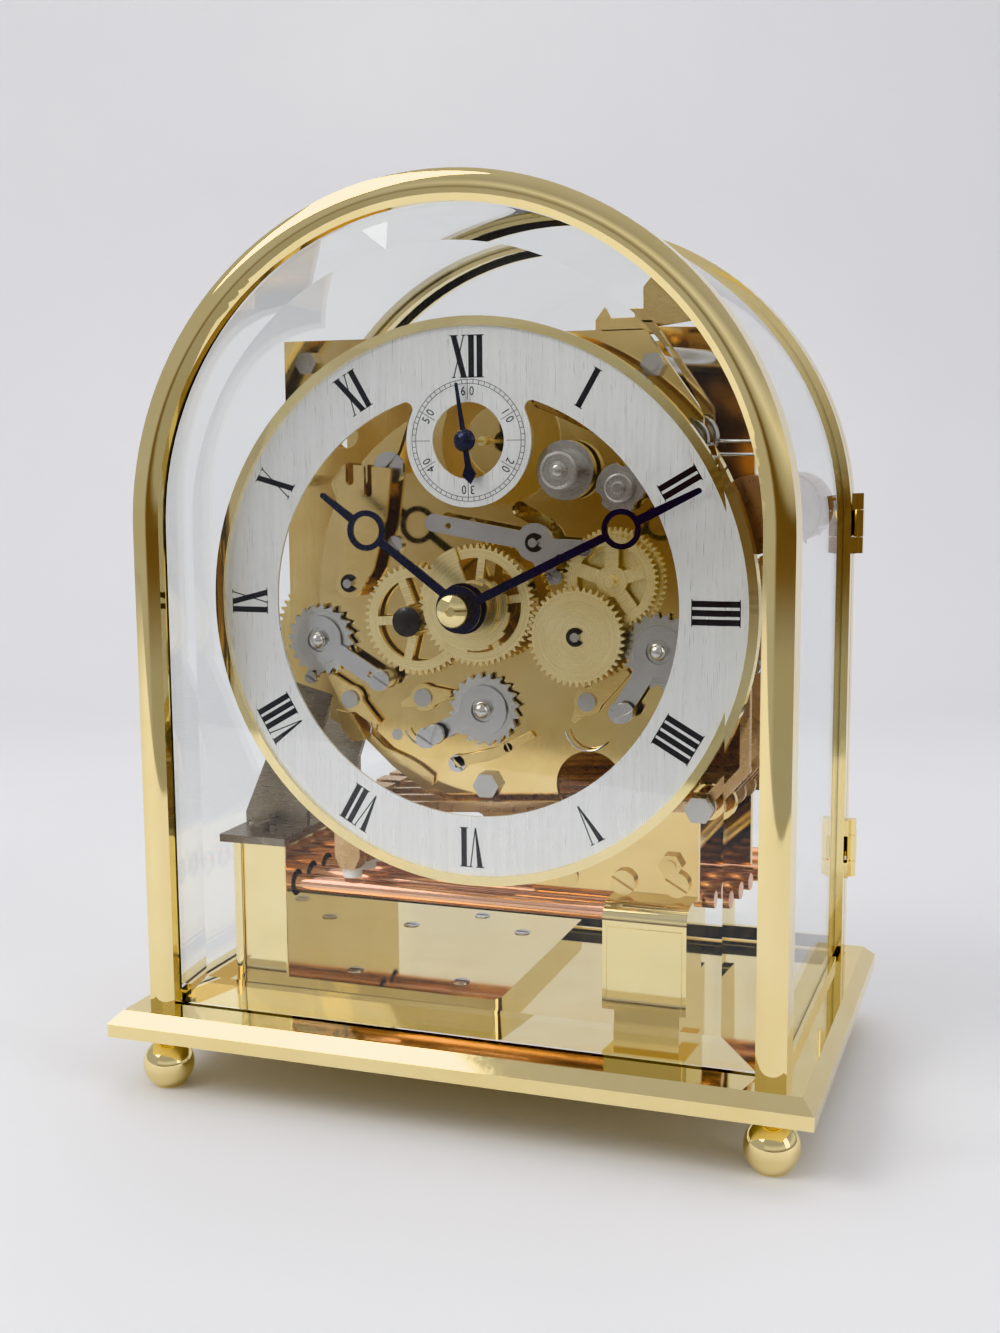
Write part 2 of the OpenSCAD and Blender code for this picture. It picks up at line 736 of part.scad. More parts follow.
// ---- platform escapement, standing over the seconds wheel ----
esc_y = crown_y + 3 + 2.5;
deck2_z = 246;
esc_c = [0, esc_y];
pallet_c = [8.6, esc_y];
balance_c = [18.2, esc_y];
module platform() {
    color("goldenrod") {
        difference() {
            translate([-10, plate_in, deck2_z]) cube([42, back_y - plate_in, 1.8]);
            for (c = [esc_c, pallet_c, balance_c]) translate([c[0], c[1], deck2_z - 1])
                cylinder(r = 0.6 + fit, h = 4);
            translate([-7, -16, deck2_z - 1]) cube([36, 10, 4]);
        }
        // hanger for the lower pivot of the escape wheel
        difference() {
            translate([-3, esc_y - 2, deck2_z - 15]) cube([6, 7, 15]);
            translate([-4, esc_y - 3, deck2_z - 13.5]) cube([8, 6.5, 14]);
            translate([0, esc_y, deck2_z - 16]) cylinder(r = 0.6 + fit, h = 3);
        }
        // cock over the balance, and the bridge over the escape wheel
        difference() {
            union() {
                translate([27, esc_y - 4, deck2_z + 1.8]) cube([5, 8, 7.6]);
                translate([balance_c[0] - 3, esc_y - 3, deck2_z + 9.4]) cube([16.8, 6, 1.4]);
                translate([-9.5, esc_y - 9, deck2_z + 1.8]) cube([3, 4, 3.4]);
                translate([-9.5, esc_y - 9, deck2_z + 5.2]) cube([11.5, 11.5, 1.2]);
            }
            for (c = [esc_c, balance_c]) translate([c[0], c[1], deck2_z + 4])
                cylinder(r = 0.6 + fit, h = 9);
        }
    }
}
module escape_wheel() {
    color("goldenrod") translate([esc_c[0], esc_c[1], 0]) {
        translate([0, 0, deck2_z + 2.6]) linear_extrude(0.8) difference() {
            polygon([for (i = [0:14]) each [polar(4.1, i * 24), polar(5.4, i * 24 + 9),
                polar(5.4, i * 24 + 12), polar(4.2, i * 24 + 15)]]);
            windows(1.6, 3.2, 4, 0.9);
        }
        cylinder_at(0.6, deck2_z - 14.8, deck2_z + 6.2);
        translate([0, 0, deck2_z - 11]) linear_extrude(5.4)
            polygon([for (i = [0:6]) each [polar(1, i * 360 / 7 - 14), polar(2.1, i * 360 / 7 - 9),
                polar(2.3, i * 360 / 7), polar(2.1, i * 360 / 7 + 9), polar(1, i * 360 / 7 + 14)]]);
    }
}
module cylinder_at(r, z0, z1) {
    translate([0, 0, z0]) cylinder(r = r, h = z1 - z0);
}
module pallet_lever() {
    color("silver") translate([pallet_c[0], pallet_c[1], 0]) {
        translate([0, 0, deck2_z + 2.6]) linear_extrude(0.8) union() {
            circle(1.3);
            polygon([[-0.4, 0], [0.4, 0], [0.6, 4.6], [-2.2, 5.2], [-2.4, 4.4], [-0.6, 4]]);
            polygon([[-0.4, 0], [0.4, 0], [0.6, -4.6], [-2.2, -5.2], [-2.4, -4.4], [-0.6, -4]]);
            polygon([[0, -0.5], [6.6, -0.9], [6.6, -0.4], [5.6, 0], [6.6, 0.4], [6.6, 0.9], [0, 0.5]]);
        }
        cylinder_at(0.6, deck2_z + 0.2, deck2_z + 5);
    }
}
module balance_wheel() {
    color("goldenrod") translate([balance_c[0], balance_c[1], 0]) {
        translate([0, 0, deck2_z + 4.6]) linear_extrude(1.3) difference() {
            circle(8.2);
            windows(1.6, 7, 2, 1.3, 30);
        }
        cylinder_at(0.6, deck2_z + 0.2, deck2_z + 10.6);
        cylinder_at(1.5, deck2_z + 3.6, deck2_z + 6);
        // hairspring, as flat rings joined by one arm
        translate([0, 0, deck2_z + 7]) linear_extrude(0.6) union() {
            for (r = [1.6:0.8:4.8]) difference() {
                circle(r);
                circle(r - 0.2);
            }
            translate([0.4, -0.15]) square([4.3, 0.3]);
        }
    }
}

// ---- barrels, winding and clicks ----
module barrel(c, n, m, phase, body_r, body_back) {
    color("goldenrod") difference() {
        union() {
            sheet(rim_y, rim_t) translate(c) gear_2d(n, m, phase);
            bar(c, body_r, rim_y + rim_t, body_back);
            bar(c, 6, rim_y - 1.2, body_back + 1);
        }
        bar(c, body_r - 1.2, rim_y + rim_t, body_back - 1.4);
        bar(c, 3 + fit, -30, 40);
    }
}
module barrel_time() {
    barrel(time_w, barrel_n, barrel_m, 90, 22, 13);
}
module barrel_strike() {
    barrel(strike_w, side_barrel_n, side_m, along(strike_w, strike_2), 18, 12);
}
module barrel_chime() {
    barrel(chime_w, side_barrel_n, side_m, along(chime_w, chime_2), 18, 12);
}
ratchet_n = 20;
ratchet_tip = 12.4;
ratchet_y = -28.2;
ratchet_t = 1.8;
// way = 1 has the steep face of each tooth on the left of its crest
module ratchet_2d(turn) {
    polygon([for (i = [0:ratchet_n - 1]) each [polar(10.6, turn + i * 18),
        polar(ratchet_tip, turn + i * 18 + 2.5), polar(ratchet_tip, turn + i * 18 + 5),
        polar(10.9, turn + i * 18 + 14)]]);
}
module winding_arbor(c, turn) {
    color("silver") {
        sheet(ratchet_y, ratchet_t) translate(c) ratchet_2d(turn);
        bar(c, 3, -30.6, back_y + plate_t + 0.5);
        bar(c, 4.6, plate_in + 0.4, rim_y - 1.5);
        sheet(back_y + plate_t + 0.5, 9) translate(c) translate([-2.1, -2.1]) square(4.2);
        translate([c[0], -30.6, c[1]]) rotate([90, 0, 0]) rotate_extrude() intersection() {
            translate([0, -0.8]) circle(3);
            square([3, 3]);
        }
        // coils of the mainspring, wound on the arbor inside the barrel
        sheet(-10, 18) translate(c) for (r = [6:1.6:14]) difference() {
            circle(r);
            circle(r - 0.7);
        }
        sheet(-10, 18) translate(c) translate([2, -0.4]) square([11.6, 0.8]);
    }
}
module winding_arbor_time() {
    winding_arbor(time_w, 4);
}
module winding_arbor_strike() {
    winding_arbor(strike_w, 9);
}
module winding_arbor_chime() {
    winding_arbor(chime_w, 1);
}
cover_screw = [[-20.4, 120.2], [-37.5, 139.2], [47.2, 132]];
module ratchet_covers() {
    ends = [time_w, strike_w, chime_w];
    color("silver") for (i = [0:2]) {
        c = ends[i];
        s = cover_screw[i];
        a = along(c, s);
        sheet(-29.6, 1) difference() {
            union() {
                translate(c) circle(8.3);
                translate(c) rotate(a) translate([0, -3.1]) square([norm(s - c), 6.2]);
                translate(s) circle(3.6);
            }
            translate(c) circle(4.2);
            translate(s) rotate(a) translate([-4.6, -1]) square([4.6, 2]);
        }
        bar(s, 3.1, -28.6, plate_y);
        slotted(s, 3.2, -31.4, -29.6);
    }
}
// Straight arm that narrows from wa to wb
module taper(a, b, wa, wb) {
    d = norm(b - a);
    translate(a) rotate(along(a, b)) polygon([[0, -wa / 2], [d, -wb / 2], [d, wb / 2], [0, wa / 2]]);
}
// Click: body on its rivet, a beak at the crests of the ratchet and a tail for its spring
module click_2d(wheel_c, rivet, beak_a, tail) {
    beak = wheel_c + polar(ratchet_tip + 0.3, beak_a);
    difference() {
        union() {
            translate(rivet) circle(4.6);
            taper(rivet, beak, 8.6, 2);
            taper(rivet, tail, 6.6, 1.4);
        }
        translate(rivet) circle(1.5 + fit);
        translate(wheel_c) circle(ratchet_tip + 0.25);
    }
}
click_rivet = [[-21.8, 133.8], [-49, 132.1], [36, 135]];
module click_time() {
    color("gold") sheet(ratchet_y, ratchet_t) click_2d(time_w, click_rivet[0], 158, [-30, 131]);
}
module click_strike() {
    color("gold") sheet(ratchet_y, ratchet_t) click_2d(strike_w, click_rivet[1], 285, [-39, 124]);
}
module click_chime() {
    color("gold") sheet(ratchet_y, ratchet_t) click_2d(chime_w, click_rivet[2], 214, [31, 128]);
}

// ---- strike and chime trains ----
module strike_wheel() {
    a = along(strike_w, strike_2);
    color("goldenrod") {
        wheel(strike_2, side_pinion_n, side_m, mesh_phase(a, side_barrel_n, a, side_pinion_n),
            rim_y - 0.6, rim_t + 1.2, 1);
        sheet(18.2, 1.8) translate(strike_2) difference() {
            gear_2d(strike_n, strike_m, strike_fly_a);
            windows(6, 17.6, 5, 3.2, 20);
        }
        for (i = [0:7]) bar(strike_2 + polar(14 + 5.2, i * 45), 0.7, 15, 18.4);
        bar(strike_2, 1.6, plate_y + 0.4, back_y + plate_t - 0.3);
    }
}
module fly(c, reach, phase, n, m, front) {
    color("goldenrod") {
        wheel(c, n, m, phase, front, 3, 0.5);
        bar(c, 1.2, plate_y + 0.4, back_y + plate_t - 0.3);
        bar(c, 2.2, -8, 12);
        sheet(-8, 20) translate(c) translate([-reach, -0.35]) square([2 * reach, 0.7]);
    }
}
module strike_fly() {
    fly(strike_fly_c, 13, mesh_phase(strike_fly_a, strike_n, strike_fly_a, fly_n), fly_n,
        strike_m, 17.6);
}
module chime_fly() {
    fly(chime_fly_c, 10, mesh_phase(chime_fly_a, chime_n, chime_phase, fly_n), fly_n,
        chime_m, 20);
}
module drum_idler() {
    color("goldenrod") {
        sheet(chime_y, 1.6) translate(idler_c) difference() {
            gear_2d(idler_n, chime_m, idler_phase);
            windows(4, 9.4, 5, 2.4, 20);
        }
        bar(idler_c, 2.4, chime_y - 1, chime_y + 2.2);
        bar(idler_c, 1.2, plate_y + 0.4, back_y + plate_t - 0.3);
    }
}
module chime_wheel() {
    a = along(chime_w, chime_2);
    color("goldenrod") {
        wheel(chime_2, side_pinion_n, side_m, mesh_phase(a, side_barrel_n, a, side_pinion_n),
            rim_y - 0.6, rim_t + 1.2, 1);
        sheet(chime_y, 1.6) translate(chime_2) difference() {
            gear_2d(chime_n, chime_m, chime_phase);
            windows(4.4, 11.6, 5, 2.8, 20);
        }
        sheet(-30, 1.3) translate(chime_2) difference() {
            gear_2d(50, 0.6, 0);
            windows(5, 11.6, 5, 4.4, 18);
        }
        sheet(-26.1, 0.8) translate(chime_2) gear_2d(56, 0.6, 0);
        bar(chime_2, 4, -28.7, -26.1);
        bar(chime_2, 1.6, -33, back_y + plate_t - 0.3);
    }
}
drum_r = 12;
drum_spans = [[-33.4, -29.6], [-20.5, 20], [27, 55]];
module drum_pins(y, turn) {
    for (i = [0:3]) translate([drum_c[0], y, drum_c[1]]) rotate([0, turn + i * 90, 0])
        translate([0, 0, drum_r - 1]) cylinder(r = 0.5, h = 2.3);
}
// The tune is laid out by a simple rule: every row of pins is turned a little further
module chime_drum() {
    color("saddlebrown") {
        for (span = drum_spans) difference() {
            bar(drum_c, drum_r, span[0], span[1]);
            bar(drum_c, drum_r - 2, span[0] + 1.2, span[1] - 1.2);
        }
        bar(drum_c, 1.6, -34, 56);
        wheel(drum_c, drum_n, chime_m, mesh_phase(along(idler_c, drum_c), idler_n, idler_phase, drum_n),
            chime_y, 1.6, 1);
        bar(drum_c, 4, 19.8, chime_y + 2.2);
    }
    color("gold") for (i = [0:rod_n - 1]) drum_pins(rod_y(i), 20 + i * 34);
}

// ---- levers and rollers in front of the plate ----
module lift_lever() {
    color("silver") sheet(-32.4, 1.2) difference() {
        union() {
            link([-15.5, 193.1], [19.4, 187], 5.8);
            translate([19.4, 187]) circle(6.3);
            link([19.4, 186.2], [36.2, 185.4], 5);
            link([19.4, 187], [23, 181.5], 8);
        }
        translate([19.4, 187]) circle(1.5 + fit);
        translate([-10.5, 192.2]) circle(1);
    }
}
module rack_lever() {
    color("gold") sheet(-31.5, 1.5) difference() {
        union() {
            translate([-47, 172.4]) circle(5);
            polygon([[-51.9, 173], [-49.8, 183], [-49.4, 196], [-53, 205], [-52, 213], [-31, 211],
                [-33.2, 194.5], [-38.2, 177.2], [-42.8, 169.8]]);
        }
        translate([-47, 172.4]) circle(1.5 + fit);
        link([-46.2, 207], [-46.2, 216], 2.8);
        link([-39.5, 203], [-39.5, 216], 2.8);
    }
}
roller_c = [[29.4, 210.2], [47.4, 204.6], [69, 219.5]];
module plate_hardware() {
    plate_screws();
    color("gray") {
        bar(roller_c[0], 9.6, -31.5, -27.5);
        bar(roller_c[0], 6.4, -38, -31.5);
        bar(roller_c[0], 1.5, -38.8, plate_in);
        sheet(-30.5, 3) translate(roller_c[1]) difference() {
            circle(8);
            for (a = [205, 320, 85]) translate(polar(9.4, a)) circle(2.6);
        }
        bar(roller_c[1], 5, -32.2, -30.5);
        bar(roller_c[1], 1.5, -34.2, plate_in);
        bar(roller_c[2], 4.6, -36, -32);
        bar(roller_c[2], 6.6, -31.2, -27.4);
        bar(roller_c[2], 1.5, -38, plate_in);
        // posts of the day wheel and of the two levers
        bar(day_c, 1.5, -36.4, plate_in);
        bar([19.4, 187], 1.5, -34.6, plate_in);
        bar([19.4, 187], 3.4, -30.9, plate_y);
        bar([-47, 172.4], 1.5, -33.6, plate_in);
        bar([-47, 172.4], 3, -29.8, plate_y);
        // rivets of the three clicks
        for (c = click_rivet) {
            bar(c, 1.5, -28.2, plate_y);
            bar(c, 3.1, -29.2, -28.3);
        }
    }
}

// ---- hammers ----
module hammer(i) {
    y = rod_y(i);
    head = [head_x, 95];
    color("peru") {
        difference() {
            union() {
                sheet(y - 1.25, 2.5) union() {
                    link(hammer_pivot, head, 3.4);
                    translate(hammer_pivot) circle(4.4);
                    link(hammer_pivot, [86, 116], 3.4);
                    link([86, 116], [86, 172], 3);
                    link([86, 172], [81.5, 180.2], 2.6);
                }
                sheet(y - 4, 8) polygon([[head_x - 4.7, 98], [head_x - 4.7, 78], [head_x - 2.6, 73.6],
                    [head_x + 2.6, 73.6], [head_x + 4.7, 78], [head_x + 4.7, 98]]);
            }
            bar(hammer_pivot, shaft_r + fit, -40, 60);
        }
    }
    color("white") translate([head_x, y, 70.4]) cylinder(r = 3.4, h = 3.2);
}
module hammer_1() { hammer(0); }
module hammer_2() { hammer(1); }
module hammer_3() { hammer(2); }
module hammer_4() { hammer(3); }
module hammer_5() { hammer(4); }
module hammer_6() { hammer(5); }
module hammer_7() { hammer(6); }
module hammer_8() { hammer(7); }

base_plate();
base_feet();
front_frame();
front_glass();
hood_glass();
rear_frame();
door_frame();
door_glass();
door_hinges();
door_knob();
movement_stand();
seat_bracket();
gong_blocks();
chime_rods();
dial_ring();
dial_bezel();
hour_hand();
minute_hand();
seconds_hand();
hand_nut();
front_plate();
back_plate();
plate_pillars();
minute_arbor();
minute_wheel();
hour_wheel();
day_wheel();
third_wheel();
seconds_arbor();
platform();
escape_wheel();
pallet_lever();
balance_wheel();
barrel_time();
barrel_strike();
barrel_chime();
winding_arbor_time();
winding_arbor_strike();
winding_arbor_chime();
ratchet_covers();
click_time();
click_strike();
click_chime();
strike_wheel();
strike_fly();
chime_wheel();
chime_fly();
drum_idler();
chime_drum();
lift_lever();
rack_lever();
plate_hardware();
hammer_1();
hammer_2();
hammer_3();
hammer_4();
hammer_5();
hammer_6();
hammer_7();
hammer_8();
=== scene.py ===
"""Looks of a chiming skeleton mantel clock: polished brass, bevelled glass and a silvered dial."""

import json
import math

import bmesh
import bpy
from mathutils import Matrix, Vector


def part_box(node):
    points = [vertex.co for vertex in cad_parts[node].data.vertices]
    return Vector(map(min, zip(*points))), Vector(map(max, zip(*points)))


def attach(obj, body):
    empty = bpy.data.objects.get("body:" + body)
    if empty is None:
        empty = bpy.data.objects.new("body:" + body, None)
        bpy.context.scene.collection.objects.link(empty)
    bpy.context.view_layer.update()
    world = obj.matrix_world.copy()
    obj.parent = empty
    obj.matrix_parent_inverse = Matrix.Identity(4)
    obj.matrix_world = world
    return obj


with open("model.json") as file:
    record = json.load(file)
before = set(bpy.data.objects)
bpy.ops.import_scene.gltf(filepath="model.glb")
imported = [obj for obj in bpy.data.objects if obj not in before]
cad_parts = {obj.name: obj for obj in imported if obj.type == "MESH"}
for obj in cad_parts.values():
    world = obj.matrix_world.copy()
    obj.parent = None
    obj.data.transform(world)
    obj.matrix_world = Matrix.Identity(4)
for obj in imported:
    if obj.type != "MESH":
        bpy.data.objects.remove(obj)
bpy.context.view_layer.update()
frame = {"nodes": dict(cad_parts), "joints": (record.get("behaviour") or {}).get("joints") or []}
MM = 0.001


# ---------------------------------------------------------------- places taken from the frame
def middle(node):
    """Centre of a CAD node's box."""
    low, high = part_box(node)
    return (low + high) / 2


def joint_place(child):
    """A point on the hinge axis that carries a body."""
    for joint in frame["joints"]:
        if joint["child"] == child:
            return Vector(joint["pos_m"])
    raise KeyError(child)


DIAL = middle("dial_bezel")
DIAL_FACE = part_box("dial_ring")[0].y
DIAL_OUT = (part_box("dial_ring")[1].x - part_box("dial_ring")[0].x) / 2
SECONDS = joint_place("seconds_train")
PLATE_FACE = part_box("front_plate")[0].y
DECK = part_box("front_frame")[0].z
# thickness of the stand's foot, which lies on the deck
FOOT_PLATE = 6 * MM
# how far a painted line runs into the dial, so that no gap shows under it
BITE = 0.05 * MM


def in_mm(points):
    """Points given in millimetres, in the metres of the frame."""
    return [tuple(value * MM for value in point) for point in points]


# ---------------------------------------------------------------- node helpers
class Nodes:
    """A material with a Principled shader and short ways to add procedural detail to it."""

    def __init__(self, name, **sockets):
        self.material = bpy.data.materials.new(name)
        self.material.use_nodes = True
        self.tree = self.material.node_tree
        self.shader = self.tree.nodes["Principled BSDF"]
        for socket, value in sockets.items():
            self.shader.inputs[socket.replace("_", " ")].default_value = value
        self.place = self.tree.nodes.new("ShaderNodeTexCoord").outputs["Object"]

    def add(self, kind, **settings):
        node = self.tree.nodes.new(kind)
        for key, value in settings.items():
            setattr(node, key, value)
        return node

    def link(self, source, target):
        self.tree.links.new(source, target)

    def moved(self, scale=(1, 1, 1), location=(0, 0, 0)):
        node = self.add("ShaderNodeMapping")
        self.link(self.place, node.inputs["Vector"])
        node.inputs["Scale"].default_value = scale
        node.inputs["Location"].default_value = location
        return node.outputs["Vector"]

    def noise(self, scale, stretch=(1, 1, 1), detail=3.0, rough=0.55):
        node = self.add("ShaderNodeTexNoise")
        self.link(self.moved(stretch), node.inputs["Vector"])
        node.inputs["Scale"].default_value = scale
        node.inputs["Detail"].default_value = detail
        node.inputs["Roughness"].default_value = rough
        return node.outputs["Fac"]

    def rings(self, centre, per_metre):
        """Concentric turning marks about a Y axis through centre."""
        flat = self.moved((1, 0, 1), (-centre.x, 0, -centre.z))
        length = self.add("ShaderNodeVectorMath", operation="LENGTH")
        self.link(flat, length.inputs[0])
        marks = self.add("ShaderNodeTexNoise", noise_dimensions="1D")
        self.link(length.outputs["Value"], marks.inputs["W"])
        marks.inputs["Scale"].default_value = per_metre
        marks.inputs["Detail"].default_value = 2.0
        return marks.outputs["Fac"]

    def spread(self, source, low, high, start=0.3, end=0.7):
        """Maps a 0 to 1 signal to low..high."""
        node = self.add("ShaderNodeMapRange")
        self.link(source, node.inputs["Value"])
        node.inputs["From Min"].default_value = start
        node.inputs["From Max"].default_value = end
        node.inputs["To Min"].default_value = low
        node.inputs["To Max"].default_value = high
        return node.outputs["Result"]

    def blend(self, factor, first, second):
        node = self.add("ShaderNodeMix", data_type="RGBA")
        self.link(factor, node.inputs["Factor"])
        for socket, colour in ((node.inputs[6], first), (node.inputs[7], second)):
            if isinstance(colour, bpy.types.NodeSocket):
                self.link(colour, socket)
            else:
                socket.default_value = (*colour, 1)
        return node.outputs[2]

    def colour(self, output):
        self.link(output, self.shader.inputs["Base Color"])

    def roughness(self, output):
        self.link(output, self.shader.inputs["Roughness"])

    def bump(self, height, strength, depth):
        node = self.add("ShaderNodeBump")
        self.link(height, node.inputs["Height"])
        node.inputs["Strength"].default_value = strength
        node.inputs["Distance"].default_value = depth
        self.link(node.outputs["Normal"], self.shader.inputs["Normal"])

    def above(self, axis, value, width):
        """0 below a place on an axis of the frame and 1 above it."""
        split = self.add("ShaderNodeSeparateXYZ")
        self.link(self.place, split.inputs[0])
        return self.spread(split.outputs[axis], 0, 1, value - width, value + width)


# ---------------------------------------------------------------- materials
def metal(name, light, dark, rough, grain=900, streak=(1, 1, 1), depth=0.00001, strength=0.12):
    """Metal with cloudy colour, uneven polish and a fine surface grain."""
    n = Nodes(name, Metallic=1.0)
    cloud = n.noise(45, detail=4)
    n.colour(n.blend(n.spread(cloud, 0, 1), light, dark))
    fine = n.noise(grain, streak, detail=2)
    n.roughness(n.spread(fine, rough * 0.75, rough * 1.35))
    n.bump(fine, strength, depth)
    return n.material


def turned(name, centre, light, dark, rough, per_metre=6500):
    """Metal with concentric lathe marks about an arbor."""
    n = Nodes(name, Metallic=1.0)
    n.colour(n.blend(n.spread(n.noise(60, detail=4), 0, 1), light, dark))
    marks = n.rings(centre, per_metre)
    n.roughness(n.spread(marks, rough * 0.7, rough * 1.4))
    n.bump(marks, 0.12, 0.000006)
    return n.material


BRASS_LIGHT = (0.95, 0.80, 0.44)
BRASS_DARK = (0.92, 0.75, 0.37)
AMBER_LIGHT = (0.90, 0.69, 0.32)
AMBER_DARK = (0.82, 0.58, 0.23)
WHEEL_LIGHT = (0.95, 0.79, 0.44)
WHEEL_DARK = (0.88, 0.70, 0.34)
# height below which the plate's screws are brass
BRASS_SCREWS_TOP = 92 * MM
# height of the nylon nose under a hammer's head
NOSE = 3.2 * MM


def silvered():
    """Vertically brushed silvering of the dial."""
    n = Nodes("silvered_dial", Metallic=0.7, Anisotropic=0.4)
    streaks = n.noise(1, (5200, 400, 90), detail=3)
    broad = n.noise(1, (900, 60, 25), detail=2)
    n.colour(n.blend(n.spread(broad, 0, 1), (0.94, 0.945, 0.94), (0.87, 0.875, 0.87)))
    n.roughness(n.spread(streaks, 0.26, 0.46))
    n.bump(streaks, 0.3, 0.00002)
    return n.material


def clear_glass():
    """Clear glass with a faint uneven polish."""
    n = Nodes("case_glass", Transmission_Weight=1.0, IOR=1.5, Metallic=0.0)
    n.colour(n.blend(n.spread(n.noise(6), 0, 1), (0.985, 0.995, 0.99), (0.975, 0.99, 0.985)))
    n.roughness(n.spread(n.noise(25, detail=5), 0.0, 0.012))
    return n.material


def hammer_metal():
    """Bronze arm, leather brown head and a white nylon nose below it."""
    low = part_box("hammer_1")[0]
    n = Nodes("hammer", IOR=1.45)
    is_arm = n.above("Z", low.z + NOSE, 0.1 * MM)
    arm = n.blend(n.spread(n.noise(70), 0, 1), (0.80, 0.55, 0.30), (0.60, 0.38, 0.18))
    nylon = n.blend(n.spread(n.noise(150), 0, 1), (0.90, 0.90, 0.86), (0.82, 0.82, 0.78))
    n.colour(n.blend(is_arm, nylon, arm))
    n.link(is_arm, n.shader.inputs["Metallic"])
    n.roughness(n.spread(n.noise(500), 0.22, 0.4))
    n.bump(n.noise(1200), 0.1, 0.00002)
    return n.material


def fittings():
    """Nickel, but brass on the screws and pillar along the bottom of the front plate."""
    n = Nodes("plate_fittings", Metallic=1.0)
    is_upper = n.above("Z", BRASS_SCREWS_TOP, 0.5 * MM)
    nickel = n.blend(n.spread(n.noise(60), 0, 1), (0.62, 0.60, 0.57), (0.50, 0.48, 0.45))
    brass = n.blend(n.spread(n.noise(60), 0, 1), AMBER_LIGHT, AMBER_DARK)
    n.colour(n.blend(is_upper, brass, nickel))
    grain = n.noise(5000)
    n.roughness(n.spread(grain, 0.16, 0.28))
    n.bump(grain, 0.05, 0.000005)
    return n.material


def blued():
    """Blued steel of the hands, with a thin clear varnish."""
    n = Nodes("blued_steel", Metallic=0.9, Coat_Weight=0.4, Coat_Roughness=0.1)
    n.colour(n.blend(n.spread(n.noise(90), 0, 1), (0.010, 0.013, 0.034), (0.016, 0.021, 0.055)))
    n.roughness(n.spread(n.noise(700), 0.22, 0.36))
    n.bump(n.noise(1500), 0.08, 0.00001)
    return n.material


def enamel():
    """Matt black paint of the numerals."""
    n = Nodes("black_enamel", Metallic=0.0, Specular_IOR_Level=0.25)
    n.colour(n.blend(n.spread(n.noise(300), 0, 1), (0.006, 0.006, 0.009), (0.014, 0.014, 0.018)))
    n.roughness(n.spread(n.noise(900), 0.3, 0.5))
    n.bump(n.noise(2500), 0.1, 0.00001)
    return n.material


POLISHED = metal("polished_brass", BRASS_LIGHT, BRASS_DARK, 0.05, 700, (1, 1, 0.3), strength=0.04)
SATIN = metal("satin_brass", AMBER_LIGHT, AMBER_DARK, 0.2, 500, (1, 1, 5))
PLATE = metal("plate_brass", AMBER_LIGHT, AMBER_DARK, 0.07, 350, (6, 1, 1))
STEEL = metal("polished_steel", (0.68, 0.67, 0.66), (0.58, 0.57, 0.56), 0.2, 5000, strength=0.05)
NICKEL = metal("nickel", (0.60, 0.57, 0.53), (0.48, 0.46, 0.43), 0.24, 5000, strength=0.05)
DARK = metal("bracket_steel", (0.36, 0.31, 0.24), (0.24, 0.20, 0.15), 0.3, 240, (1, 1, 9))
BRONZE = metal("drum_bronze", (0.42, 0.24, 0.13), (0.27, 0.14, 0.07), 0.33, 600, (1, 8, 1))
COPPER = metal("rod_copper", (0.93, 0.55, 0.36), (0.82, 0.42, 0.26), 0.16, 300, (0.05, 1, 1))
BLACK = metal("blackened_steel", (0.03, 0.03, 0.032), (0.06, 0.055, 0.05), 0.35, 1500)
FITTINGS = fittings()
GLASS = clear_glass()
SILVER = silvered()
HAMMER = hammer_metal()
BLUED = blued()
ENAMEL = enamel()


